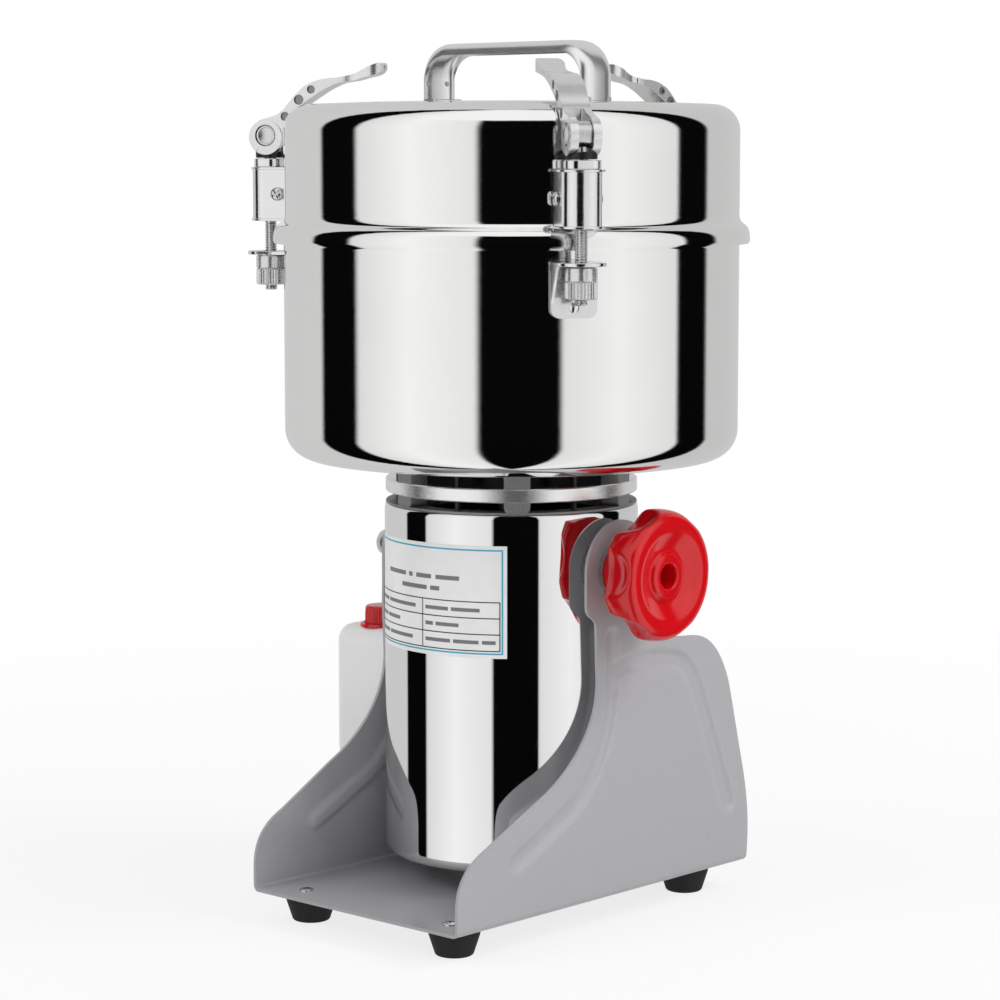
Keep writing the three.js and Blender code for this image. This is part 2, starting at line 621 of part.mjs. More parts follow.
// A racetrack coil round one stator pole.
function fieldCoil(side) {
  const outer = roundedRect(-COIL_HALF, STATOR_Z - COIL_END, COIL_HALF, STATOR_TOP + COIL_END, 12);
  const room = POLE_HALF + 0.5;
  outer.holes.push(roundedRect(-room, STATOR_Z - 1.5, room, STATOR_TOP + 1.5, 2));
  const [near, far] = [STATOR_BORE + 1.5, STATOR_R - YOKE - 1];
  return prism("xz", outer, ...(side > 0 ? [near, far] : [-far, -near]), 3);
}

function armatureCore() {
  const [z0, z1] = [STATOR_Z, STATOR_TOP];
  const body = rod("z", [0, 0, 0], ARMATURE_R, z0, z1, 24);
  const slots = Array.from({ length: ARMATURE_SLOTS }, (_, i) =>
    block(ARMATURE_R - 9, ARMATURE_R + 2, -1.6, 1.6, z0 - 1, z1 + 1).rotate([0, 0, (360 * i) / ARMATURE_SLOTS]));
  const windings = [[z0 - WINDING_END, z0], [z1, z1 + WINDING_END]].map(([low, high]) =>
    ring("z", [0, 0, 0], SHAFT_R + 1, ARMATURE_R - 5, low, high));
  return cut(join(body, ...windings), ...slots, rod("z", [0, 0, 0], SHAFT_R + GAP, z0 - 20, z1 + 20));
}

function commutator() {
  const z = COMMUTATOR_Z;
  const body = ring("z", [0, 0, z], SHAFT_R + GAP, COMMUTATOR_R, 0, COMMUTATOR_H);
  const riser = ring("z", [0, 0, z], SHAFT_R + GAP, COMMUTATOR_R + 3, -2, 1);
  return join(body, riser);
}

function brushHolder(side) {
  const [low, z] = [COMMUTATOR_R + GAP, COMMUTATOR_Z + COMMUTATOR_H / 2];
  const tube = block(low + 5, HOUSING_BORE - BRUSH_ROOM, -6, 6, z - 7, z + 7);
  const brush = block(low, low + 8, -4, 4, z - 5, z + 5);
  return side > 0 ? join(tube, brush) : join(tube, brush).rotate([0, 0, 180]);
}

function coolingFan() {
  const [r, z] = [STATOR_R - 4, FAN_Z];
  const hub = ring("z", [0, 0, z], SHAFT_R + GAP, SHAFT_R + 8, 0, FAN_H);
  const disc = ring("z", [0, 0, z], SHAFT_R + GAP, r, 0, 1.6, 20);
  const blades = Array.from({ length: FAN_BLADES }, (_, i) =>
    block(SHAFT_R + 7, r - 1, -0.8, 0.8, z + 0.5, z + FAN_H).rotate([0, 0, (360 * i) / FAN_BLADES]));
  return join(hub, disc, ...blades);
}

// Shaft: the armature's journal below, the threaded blade end above, with a shoulder under the blades
function motorShaft() {
  const collar = BLADE_HUB_R - 3;
  const profile = [
    [0, LOWER_BEARING_Z - 4], [SHAFT_R, LOWER_BEARING_Z - 4],
    [SHAFT_R, BOWL_BOTTOM - 2], [SHAFT_R + 1.5, BOWL_BOTTOM - 1], [SHAFT_R + 1.5, SHOULDER_TOP - 4],
    [collar, SHOULDER_TOP - 4], [collar, SHOULDER_TOP], [SHAFT_R, SHOULDER_TOP],
    [SHAFT_R, SHAFT_TOP - 1], [SHAFT_R - 1, SHAFT_TOP], [0, SHAFT_TOP],
  ];
  return turned(profile, SMALL);
}

// Collar casting: flat foot ring, lugs, machined band and top plate, with the upper bearing's seat in the middle
function collarCasting() {
  const rim = MOTOR_TOP + GAP;
  const [inner, spigot, top] = [COLLAR_R - 10, HOUSING_BORE - GAP, PLATE_BOTTOM + 1];
  const foot = turned([
    [inner, rim - 6], [spigot, rim - 6], [spigot, rim], [COLLAR_R, rim],
    [COLLAR_R, rim + COLLAR_FOOT], [inner, rim + COLLAR_FOOT], [inner, rim - 6],
  ], MEDIUM);
  const band = ring("z", [0, 0, 0], COLLAR_R - 8, COLLAR_R, BAND_TOP - BAND_H, BAND_TOP, MEDIUM);
  const plate = ring("z", [0, 0, 0], FLOOR_HOLE_R + GAP, COLLAR_R, PLATE_BOTTOM, BOWL_BOTTOM - GAP, MEDIUM);
  const seat = ring("z", [0, 0, 0], BEARING_R + GAP, BEARING_R + 5, UPPER_BEARING_Z - 3, top, 20);
  const turns = Array.from({ length: COLLAR_LUGS }, (_, i) => LUG_ANGLE + (360 * i) / COLLAR_LUGS);
  const lugs = turns.map((a) =>
    block(inner, COLLAR_R + 1, -COLLAR_LUG / 2, COLLAR_LUG / 2, rim, top).rotate([0, 0, a]));
  const arms = [0, 2, 4].map((i) =>
    block(BEARING_R + 3, inner + 3, -3, 3, UPPER_BEARING_Z + 2, top).rotate([0, 0, turns[i]]));
  const fins = turns.map((a) =>
    block(inner + 2, inner + 5, -0.8, 0.8, rim, top).rotate([0, 0, a + 180 / COLLAR_LUGS]));
  const keep = rod("z", [0, 0, 0], COLLAR_R, rim - 7, BOWL_BOTTOM, MEDIUM);
  return join(foot, band, plate, seat, ...lugs, ...arms, ...fins).intersect(keep);
}

function shaftSeal() {
  const inner = SHAFT_R + 1.5 + RUN;
  const z = BOWL_BOTTOM + SHEET + GAP;
  const stem = FLOOR_HOLE_R - GAP;
  const profile = [
    [inner, z - 3], [stem, z - 3], [stem, z], [stem + 4.6, z], [stem + 2.6, z + 3], [inner, z + 4], [inner, z - 3],
  ];
  return turned(profile, SMALL);
}

// Bowl and lid: spun shells whose rims nest
function bowl() {
  const [r, z, e, t] = [BOWL_R, BOWL_BOTTOM, BOWL_EDGE, SHEET];
  const outer = arcPoints(r - e, z + e, e, -90, 0, 4);
  const inner = arcPoints(r - e, z + e, e - t, 0, -90, 3);
  const profile = [
    [FLOOR_HOLE_R, z], ...outer, [r, FLANGE_TOP - t], [FLANGE_R, FLANGE_TOP - t], [FLANGE_R, FLANGE_TOP],
    [r - t, FLANGE_TOP], ...inner, [FLOOR_HOLE_R, z + t], [FLOOR_HOLE_R, z],
  ];
  return turned(profile);
}

function lid() {
  const [r, t, e] = [BOWL_R, SHEET, LID_EDGE];
  const top = LID_TOP;
  const middle = top - LID_CROWN - e;
  const outer = arcPoints(r - e, middle, e, 90, 0, 4);
  const inner = arcPoints(r - e, middle, e - t, 0, 90, 2);
  const flare = SKIRT_W;
  const out = [[r, FLARE_TOP], [r + 0.3 * flare, FLARE_TOP - 3.6], [r + 0.88 * flare, FLARE_TOP - 7]];
  const inn = [[SKIRT_R - t, FLARE_TOP - 9], [r - t, FLARE_TOP - 2]];
  const profile = [
    [0, top], [LID_FLAT_R, top], ...outer, ...out, [SKIRT_R, SKIRT_BOTTOM], [SKIRT_R - t, SKIRT_BOTTOM],
    ...inn, ...inner, [0, top - t],
  ];
  return turned(profile);
}

function lidSeal() {
  const z = FLANGE_TOP + GAP;
  return ring("z", [0, 0, 0], BOWL_R - SHEET, FLANGE_R - 1, z, z + SEAL_H, ROUND);
}

// A band of the given depth that follows the handle's U.
function handleBand(depth) {
  const s = new THREE.Shape();
  const low = LID_TOP + GAP;
  const [h, top, r] = [HANDLE_HALF, HANDLE_TOP, HANDLE_BEND];
  const inner = Math.max(r - depth, 1);
  s.moveTo(-h, low);
  s.lineTo(-h, top - r);
  s.absarc(-h + r, top - r, r, Math.PI, Math.PI / 2, true);
  s.lineTo(h - r, top);
  s.absarc(h - r, top - r, r, Math.PI / 2, 0, true);
  s.lineTo(h, low);
  s.lineTo(h - depth, low);
  s.lineTo(h - depth, top - depth - inner);
  s.absarc(h - depth - inner, top - depth - inner, inner, 0, Math.PI / 2);
  s.lineTo(-h + depth + inner, top - depth);
  s.absarc(-h + depth + inner, top - depth - inner, inner, Math.PI / 2, Math.PI);
  s.lineTo(-h + depth, low);
  return s;
}

function lidHandle() {
  const half = HANDLE_W / 2;
  const web = prism("xz", handleBand(STRAP_T), -half, half, 4);
  const lips = [-half, half - STRAP_T].map((y) => prism("xz", handleBand(STRAP_LIP), y, y + STRAP_T, 4));
  const feet = [-1, 1].map((d) => {
    const x = d * (HANDLE_HALF - 5);
    return block(x - 5, x + 5, -half, half, LID_TOP + GAP, LID_TOP + GAP + STRAP_T);
  });
  return join(web, ...lips, ...feet).translate([HANDLE_SHIFT, 0, 0]);
}

// Blades: each a two-armed bar on the shaft, ground to an edge along its leading sides
function blade(reach, width, tipWidth, z, thickness, rise, angle) {
  const plan = new THREE.Shape();
  const [w, t, k] = [width / 2, tipWidth / 2, BLADE_HUB_R];
  plan.moveTo(-reach, -t);
  plan.lineTo(-k, -w);
  plan.lineTo(k, -w);
  plan.lineTo(reach, -t);
  plan.lineTo(reach, t);
  plan.lineTo(k, w);
  plan.lineTo(-k, w);
  plan.lineTo(-reach, t);
  const side = new THREE.Shape();
  const bend = BLADE_HUB_R + 4;
  side.moveTo(-reach - 1, z + rise);
  side.lineTo(-bend, z);
  side.lineTo(bend, z);
  side.lineTo(reach + 1, z + rise);
  side.lineTo(reach + 1, z + rise + thickness);
  side.lineTo(bend, z + thickness);
  side.lineTo(-bend, z + thickness);
  side.lineTo(-reach - 1, z + rise + thickness);
  const span = Math.abs(rise) + thickness + 5;
  let s = prism("xy", plan, z - span, z + span, 1).intersect(prism("xz", side, -width, width, 1));
  s = s.subtract(rod("z", [0, 0, z], SHAFT_R + GAP, -10, 10));
  return s.rotate([0, 0, angle]);
}

// The lower beater carries a thick hammer block at each end.
function lowerBeater() {
  const bar = blade(BEATER_R, 26, 18, BEATER_Z, BEATER_T, 0, 20);
  const hammers = [0, 180].map((a) =>
    block(BEATER_R - 16, BEATER_R - 1, -7.5, 7.5, BEATER_Z + 1, BEATER_Z + BEATER_T + 7).rotate([0, 0, a + 20]));
  return join(bar, ...hammers);
}

function bladeSpacer(z) {
  return ring("z", [0, 0, z], SHAFT_R + GAP, BLADE_HUB_R - 3, 0, SPACER_H);
}

function bladeNut() {
  const hex = prism("xy", hexagon(11), END_NUT_Z, END_NUT_Z + 8, 1);
  const dome = turnedAbout("z", [0, 0, END_NUT_Z], [[0, 7], [9, 7], [8, 11], [5, 14], [0, 15.5]]);
  return join(hex, dome).subtract(rod("z", [0, 0, END_NUT_Z], SHAFT_R + GAP, -1, 9));
}

// Clamp pieces

// A plate outline that runs out from the bowl and ends in a round nose.
function nosed(half, from, front, r = half - 1) {
  const s = new THREE.Shape();
  s.moveTo(from, -half);
  s.lineTo(front - r, -half);
  s.absarc(front - r, -half + r, r, -Math.PI / 2, 0);
  s.absarc(front - r, half - r, r, 0, Math.PI / 2);
  s.lineTo(from, half);
  return s;
}

// The catch hooks round the pull rod from one side, so the rod leaves it when the lid is turned.
function clampCatch() {
  const [at, tabTop] = [CLAMP_BASE_AT, TAB_BOTTOM + TAB_T];
  const plate = roundedRect(-CATCH_HALF, CATCH_BOTTOM, CATCH_HALF, tabTop, 4);
  const back = prism("yz", plate, at, at + SHEET, 2);
  const web = new THREE.Shape();
  web.moveTo(at, CATCH_BOTTOM + 4);
  web.quadraticCurveTo(at + 4, CATCH_BOTTOM + 12, ROD_AT - 2, TAB_BOTTOM - 2);
  web.lineTo(ROD_AT, tabTop - 0.5);
  web.lineTo(at, tabTop - 0.5);
  const side = prism("xz", web, -CATCH_HALF, -CATCH_HALF + SHEET, 4);
  const tab = prism("xy", nosed(CATCH_HALF, at, ROD_AT + TAB_NOSE), TAB_BOTTOM, tabTop, 5);
  const slot = roundedRect(ROD_AT - SLOT_HALF, -SLOT_HALF, ROD_AT + SLOT_HALF, CATCH_HALF + 8, SLOT_HALF - 0.1);
  const rivet = [[0, -1], [2.3, -1], [2.3, 0.3], [1.4, 1], [0, 1.3]];
  const dome = turnedAbout("x", [at + SHEET, 0, CATCH_BOTTOM + 4.6], rivet, 10);
  return join(back, side, tab, dome).subtract(prism("xy", slot, TAB_BOTTOM - 1, tabTop + 1, 4));
}

// Base on the lid: a small channel with the two side screws that hold the barrel.
function clampBase() {
  const [at, half, out] = [CLAMP_BASE_AT, BARREL_HALF - SHEET - GAP, BARREL_HALF + GAP];
  const back = block(at, at + SHEET, -half, half, BARREL_BOTTOM + 3, BARREL_TOP - 3);
  const ears = [-1, 1].map((d) => {
    const [a, b] = d > 0 ? [half - SHEET, half] : [-half, -half + SHEET];
    return prism("xz", roundedRect(at, SCREW_Z - 8, SCREW_AT + 3.5, SCREW_Z + 8, 2.5), a, b, 3);
  });
  const profile = [
    [0, half - 1], [SCREW_R, half - 1], [SCREW_R, out], [SCREW_HEAD_R, out],
    [SCREW_HEAD_R, out + 1], [SCREW_HEAD_R - 1, out + 1.7], [0, out + 2],
  ];
  const screw = turnedAbout("y", [SCREW_AT, 0, SCREW_Z], profile, 12);
  return join(back, ...ears, screw, screw.mirror([0, 1, 0]));
}

// Barrel: a channel with a round nose between two lipped plates, and the guide bush on top.
function clampBarrel() {
  const [back, front] = [CLAMP_BASE_AT + 0.6, ROD_AT + BARREL_NOSE];
  const wall = prism("xy", nosed(BARREL_HALF, back, front), BARREL_BOTTOM, BARREL_TOP, 4);
  const room = nosed(BARREL_HALF - SHEET, back - 5, front - SHEET);
  const plates = [BARREL_BOTTOM - PLATE_T, BARREL_TOP].map((z) =>
    prism("xy", nosed(BARREL_HALF + PLATE_LIP, back + 1, front + 0.5), z, z + PLATE_T, 4));
  const bushTop = BARREL_TOP + PLATE_T;
  const bush = prism("xy", roundedRect(ROD_AT - 6.6, -8.2, ROD_AT + 6.6, 8.2, 5), bushTop - 0.5, BUSH_TOP, 3);
  const bore = rod("z", [ROD_AT, 0, 0], ROD_R + RUN, BARREL_BOTTOM - 5, BUSH_TOP + 5, 12);
  const screws = rod("y", [SCREW_AT, 0, SCREW_Z], SCREW_R + GAP, -20, 20, 12);
  const hollow = wall.subtract(prism("xy", room, BARREL_BOTTOM - 1, BARREL_TOP + 1, 3));
  return cut(join(hollow, ...plates, bush), bore, screws);
}

// Thrust washer, hollowed across for the cam to roll in.
function clampWasher() {
  const z = THRUST_BOTTOM;
  const disc = ring("z", [ROD_AT, 0, z], ROD_R + RUN, THRUST_R, 0, THRUST_T + THRUST_HORN);
  return disc.subtract(rod("y", [ROD_AT, 0, z + THRUST_T + SEAT_R], SEAT_R, -THRUST_R - 1, THRUST_R + 1, MEDIUM));
}

// Pull rod with its eye and cross pin in one forging.
function clampRod() {
  const stem = turned([[0, ROD_END], [ROD_R - 0.5, ROD_END], [ROD_R, ROD_END + 0.6], [ROD_R, PIN_Z], [0, PIN_Z]], 16).translate([ROD_AT, 0, 0]);
  const eye = rod("y", [ROD_AT, 0, PIN_Z], PIN_R + 1.2, -EAR_SLOT_HALF + GAP, EAR_SLOT_HALF - GAP);
  const pin = rod("y", [ROD_AT, 0, PIN_Z], PIN_R, -BOSS_HALF + 0.4, BOSS_HALF - 0.4);
  return join(stem, eye, pin);
}

function clampNut() {
  const s = new THREE.Shape();
  for (let i = 0; i < 2 * NUT_TEETH; i++) {
    const a = (Math.PI * i) / NUT_TEETH;
    const r = i % 2 ? NUT_R : NUT_R - 0.45;
    s[i ? "lineTo" : "moveTo"](r * Math.cos(a), r * Math.sin(a));
  }
  const low = NUT_TOP - NUT_H;
  const waist = NUT_TOP - NUT_H * 0.42;
  const knurled = prism("xy", s, low, waist, 1);
  const smooth = turned([[0, waist - 0.5], [NUT_R, waist - 0.5], [NUT_R, NUT_TOP - 0.8], [NUT_R - 0.8, NUT_TOP], [0, NUT_TOP]], 20);
  const bore = rod("z", [0, 0, 0], ROD_R + GAP, low - 5, NUT_TOP + 5, 12);
  return cut(join(knurled, smooth), bore).translate([ROD_AT, 0, 0]);
}

// Cam lever: round boss set off its pin, curved arm with three blind lightening holes, waist and finger paddle.
// Each point is [distance inward from the rod, height above the pin].
const LEVER_TOP = [
  [-3.3, 7.2], [4.7, 9.4], [8.7, 12], [12.3, 16.1], [15.1, 19.1], [19.1, 22.8], [24.7, 25.4], [30.2, 26.6],
  [35.7, 27], [40.5, 27.9], [45.2, 29.3], [50.7, 31.9], [56.2, 33.8], [58.5, 32.2],
];
const LEVER_UNDER = [
  [58.1, 30.9], [54.6, 28.5], [48.3, 26.9], [43.6, 25.6], [36.5, 24.6], [29.4, 21.6], [24.6, 18.7], [19.9, 15.7],
  [15.2, 11.6], [11.8, 6.5], [7.9, 1],
];
const LEVER_HOLES = [[9.8, 8.9, 2.2], [16.7, 16.7, 2.4], [22.8, 21.5, 2]];
// Half-widths of the arm from the boss to its tip, as [distance inward, share taken off the full half-width]
const LEVER_PLAN = [[36, 0], [43, 1.1], [47, 1], [52, 0.1], [56, 1.4], [58.6, 4.4]];

function clampLever() {
  const side = new THREE.Shape();
  side.moveTo(ROD_AT + 3.3, PIN_Z + 2);
  for (const [inward, up] of [...LEVER_TOP, ...LEVER_UNDER]) {
    side.lineTo(ROD_AT - inward, PIN_Z + up);
  }
  const plan = new THREE.Shape();
  plan.moveTo(ROD_AT + 20, -LEVER_HALF - 0.05);
  const edge = LEVER_PLAN.map(([inward, less]) => [ROD_AT - inward, LEVER_HALF + 0.05 - less]);
  edge.forEach(([x, half]) => plan.lineTo(x, -half));
  edge.reverse().forEach(([x, half]) => plan.lineTo(x, half));
  plan.lineTo(ROD_AT + 20, LEVER_HALF + 0.05);
  const arm = prism("xz", side, -LEVER_HALF, LEVER_HALF, 1).intersect(prism("xy", plan, PIN_Z - 20, PIN_Z + 60, 1));
  const boss = rod("y", [ROD_AT, 0, PIN_Z - CAM_OFFSET], BOSS_R, -BOSS_HALF, BOSS_HALF, 24);
  const slot = block(ROD_AT - 9.5, ROD_AT + 20, -EAR_SLOT_HALF, EAR_SLOT_HALF, PIN_Z - 20, PIN_Z + 11);
  const eye = rod("y", [ROD_AT, 0, PIN_Z], PIN_R + GAP, -20, 20);
  const core = block(ROD_AT - 40, ROD_AT, 1.2 - LEVER_HALF, LEVER_HALF - 1.2, PIN_Z, PIN_Z + 40);
  const holes = LEVER_HOLES.map(([inward, up, r]) =>
    rod("y", [ROD_AT - inward, 0, PIN_Z + up], r, -20, 20, 10).subtract(core));
  return cut(join(arm, boss), slot, eye, ...holes);
}

// Assembly: stand
place("stand_frame", "grey_paint", standFrame());
const FEET = {
  front_left: [-FOOT_X, FOOT_FRONT_Y],
  front_right: [FOOT_X, FOOT_FRONT_Y],
  rear_left: [-FOOT_X, FOOT_BACK_Y],
  rear_right: [FOOT_X, FOOT_BACK_Y],
};
for (const [corner, [x, y]] of Object.entries(FEET)) {
  place(`foot_${corner}`, "rubber", foot(x, y));
}
place("control_box", "light_paint", controlBox());
place("power_button", "red_plastic", powerButton());
place("timer_knob", "black_plastic", timerKnob());
place("cable_gland", "black_plastic", cableGland());
place("knob_washer", "brushed_steel", knobWasher());
place("locking_knob", "red_plastic", lockingKnob());

// Assembly: swinging head
const head = new THREE.Group();
mill.add(head);
place("pivot_bolt", "brushed_steel", pivotBolt(), head);
place("pivot_stud", "brushed_steel", pivotStud(), head);
place("pivot_spacer", "brushed_steel", spacerLeft(), head);
place("motor_housing", "polished_steel", motorHousing(), head);
place("lower_bearing_bracket", "cast_aluminium", lowerBracket(), head);
place("stator_core", "lamination", statorCore(), head);
place("field_coil_front", "copper", fieldCoil(-1), head);
place("field_coil_rear", "copper", fieldCoil(1), head);
place("brush_holder_left", "black_plastic", brushHolder(-1), head);
place("brush_holder_right", "black_plastic", brushHolder(1), head);
place("lower_bearing", "brushed_steel", bearing(LOWER_BEARING_Z), head);
place("upper_bearing", "brushed_steel", bearing(UPPER_BEARING_Z), head);
place("collar_casting", "cast_aluminium", collarCasting(), head);
place("bowl", "polished_steel", bowl(), head);
place("shaft_seal", "rubber", shaftSeal(), head);

// Assembly: rotor
place("motor_shaft", "brushed_steel", motorShaft(), head);
place("armature_core", "lamination", armatureCore(), head);
place("commutator", "copper", commutator(), head);
place("cooling_fan", "black_plastic", coolingFan(), head);
place("lower_beater", "brushed_steel", lowerBeater(), head);
place("blade_spacer_lower", "brushed_steel", bladeSpacer(BEATER_Z + BEATER_T + GAP), head);
place("middle_blade", "brushed_steel", blade(BEATER_R - 13, 24, 14, MIDDLE_Z, BLADE_T, 10, 80), head);
place("blade_spacer_upper", "brushed_steel", bladeSpacer(MIDDLE_Z + BLADE_T + GAP), head);
place("upper_blade", "brushed_steel", blade(BEATER_R - 27, 22, 12, UPPER_Z, BLADE_T, -6, 140), head);
place("blade_nut", "brushed_steel", bladeNut(), head);

// Assembly: lid and clamps
const lidGroup = new THREE.Group();
head.add(lidGroup);
place("lid", "polished_steel", lid(), lidGroup);
place("lid_seal", "silicone", lidSeal(), lidGroup);
const handle = place("lid_handle", "brushed_steel", lidHandle(), lidGroup);
handle.rotation.z = THREE.MathUtils.degToRad(CLAMP_ANGLES.rear - 90);
const CLAMP = {
  base: ["brushed_steel", clampBase()],
  barrel: ["polished_steel", clampBarrel()],
  washer: ["black_steel", clampWasher()],
  lever: ["polished_steel", clampLever()],
  rod: ["brushed_steel", clampRod()],
  nut: ["cast_aluminium", clampNut()],
};
const catchSolid = clampCatch();
for (const [where, angle] of Object.entries(CLAMP_ANGLES)) {
  const clamp = new THREE.Group();
  clamp.rotation.z = THREE.MathUtils.degToRad(angle);
  lidGroup.add(clamp);
  for (const [piece, [finish, manifold]] of Object.entries(CLAMP)) {
    place(`clamp_${piece}_${where}`, finish, manifold, clamp);
  }
  const catchGroup = new THREE.Group();
  catchGroup.rotation.z = clamp.rotation.z;
  head.add(catchGroup);
  place(`clamp_catch_${where}`, "polished_steel", catchSolid, catchGroup);
}

mill.position.set(AXIS_X, AXIS_Y, 0);

export default mill;
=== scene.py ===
"""Dresses the CAD model of the batch hammer mill.

Pieces are drawn in millimetres about the motor axis, with the table at zero, as the CAD source is. put() then
moves them into the frame of the CAD model.
"""

import math

import bmesh
import bpy
from mathutils import Matrix, Vector, kdtree

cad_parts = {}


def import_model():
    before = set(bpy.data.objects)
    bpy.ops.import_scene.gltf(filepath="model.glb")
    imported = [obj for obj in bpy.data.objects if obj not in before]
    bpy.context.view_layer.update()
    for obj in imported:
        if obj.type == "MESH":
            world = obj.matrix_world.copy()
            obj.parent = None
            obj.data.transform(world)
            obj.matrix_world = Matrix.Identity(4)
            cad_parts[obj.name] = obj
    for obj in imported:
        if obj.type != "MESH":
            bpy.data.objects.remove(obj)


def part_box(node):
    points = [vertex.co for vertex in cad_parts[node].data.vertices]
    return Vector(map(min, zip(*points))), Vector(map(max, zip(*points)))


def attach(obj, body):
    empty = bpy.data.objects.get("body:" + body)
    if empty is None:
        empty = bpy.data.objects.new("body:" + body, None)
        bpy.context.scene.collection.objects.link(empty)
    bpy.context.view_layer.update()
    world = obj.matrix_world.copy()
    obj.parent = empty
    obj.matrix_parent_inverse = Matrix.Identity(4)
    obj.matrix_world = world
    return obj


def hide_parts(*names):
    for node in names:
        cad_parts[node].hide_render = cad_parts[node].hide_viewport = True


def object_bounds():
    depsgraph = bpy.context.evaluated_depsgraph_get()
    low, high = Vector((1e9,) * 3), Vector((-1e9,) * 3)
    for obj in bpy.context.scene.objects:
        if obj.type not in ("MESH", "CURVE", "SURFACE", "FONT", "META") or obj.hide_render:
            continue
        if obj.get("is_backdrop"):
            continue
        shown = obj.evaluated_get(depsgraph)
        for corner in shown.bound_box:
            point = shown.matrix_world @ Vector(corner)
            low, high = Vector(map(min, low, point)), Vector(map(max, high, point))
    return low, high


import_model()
cad_box = [list(c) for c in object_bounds()]

# The motor axis stands in the middle of the bowl.
MM = 0.001
low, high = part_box("bowl")
AXIS = Vector((500 * (low[0] + high[0]), 500 * (low[1] + high[1]), 0.0))
TO_FRAME = Matrix.Translation(AXIS * MM) @ Matrix.Scale(MM, 4)


def span(node):
    """Lowest and highest corner of a CAD node in millimetres about the motor axis."""
    return [Vector([1000 * v for v in corner]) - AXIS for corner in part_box(node)]


def middle(node):
    low, high = span(node)
    return (low + high) / 2


def heights(node):
    return [corner.z for corner in span(node)]


SHEET = 1.5
GAP = 0.3
BOWL_R = 106.0
BOWL_EDGE = 14.0
BOWL_BOTTOM, FLANGE_TOP = heights("bowl")
FLANGE_R = span("bowl")[1].x
LID_EDGE = 12.2
SKIRT_R = span("lid")[1].x
SKIRT_BOTTOM, LID_TOP = heights("lid")
MOTOR_R = span("motor_housing")[1].x
MOTOR_BOTTOM, MOTOR_TOP = heights("motor_housing")
MOTOR_WALL = 1.6
PIVOT_Z = middle("knob_washer").z
PIVOT_R = 5.0

# Stand: the wall bulges a little behind its back corner, and a lobe carries the pivot.
WALL_OUT = span("stand_frame")[1].x
STAND_LOW = span("stand_frame")[0].z
STAND_FRONT = span("stand_frame")[0].y
STAND_BULGE = 1.0
STAND_BACK = span("stand_frame")[1].y - STAND_BULGE
PLATE_TOP = STAND_LOW + SHEET
STAND_BEND = 3.0
LOBE_R = 23.0
LOBE_SHIFT = 2.2
SHOULDER_Z = 130.0
NECK_RIGHT = -13.0
NECK_LEFT = -20.0

# Clamps: degrees round the bowl, and heights that all three share.
CLAMPS = {"front_right": 327, "front_left": 207, "rear": 87}
HANDLE_TURN = CLAMPS["rear"] - 90
ROD_AT = math.hypot(*middle("clamp_rod_rear").xy)
ROD_R = 2.9
PITCH = 1.2
EYE_R = 6.0
ROD_END, EYE_TOP = heights("clamp_rod_rear")
PIN_Z = EYE_TOP - EYE_R
NUT_LOW, NUT_TOP = heights("clamp_nut_rear")
CATCH_LOW, TAB_TOP = heights("clamp_catch_rear")
TAB_LOW = NUT_TOP + GAP
WASHER_LOW, HORN_TOP = heights("clamp_washer_rear")
PLATE = 1.2
BUSH = 4.0
BARREL_LOW = heights("clamp_barrel_rear")[0] + PLATE
BARREL_HIGH = heights("clamp_barrel_rear")[1] - PLATE - BUSH
BARREL_HALF = 8.9
BASE_AT = BOWL_R + GAP
SCREW_AT, SCREW_Z = 112.3, middle("clamp_base_rear").z


# Meshes
def add_object(name, data):
    ob = bpy.data.objects.new(name, data)
    bpy.context.scene.collection.objects.link(ob)
    return ob


def from_bm(bm):
    """A mesh with its normals outwards; the bmesh is used up."""
    mesh = bpy.data.meshes.new("piece")
    bmesh.ops.recalc_face_normals(bm, faces=bm.faces)
    bm.to_mesh(mesh)
    bm.free()
    return mesh


def raw(verts, faces):
    mesh = bpy.data.meshes.new("piece")
    mesh.from_pydata([tuple(v) for v in verts], [], faces)
    bm = bmesh.new()
    bm.from_mesh(mesh)
    bmesh.ops.remove_doubles(bm, verts=bm.verts, dist=1e-4)
    clean = from_bm(bm)
    bpy.data.meshes.remove(mesh)
    return clean


def lathe(profile, sides=128, radius_at=None):
    """A profile of (radius, height) turned about Z; radius_at(r, z, angle) may change the radius."""
    closed = profile[0] == profile[-1]
    points = profile[:-1] if closed else profile
    verts, faces = [], []
    for i in range(sides):
        a = 2 * math.pi * i / sides
        for r, z in points:
            q = radius_at(r, z, a) if radius_at else r
            verts.append((q * math.cos(a), q * math.sin(a), z))
    n = len(points)
    for i in range(sides):
        j = (i + 1) % sides
        for k in range(n if closed else n - 1):
            m = (k + 1) % n
            faces.append((i * n + k, j * n + k, j * n + m, i * n + m))
    return raw(verts, faces)


def arc(cx, cy, r, start, end, steps=8):
    """Points of an arc, from one angle to another in degrees."""
    turns = [math.radians(start + (end - start) * i / steps) for i in range(steps + 1)]
    return [(cx + r * math.cos(t), cy + r * math.sin(t)) for t in turns]


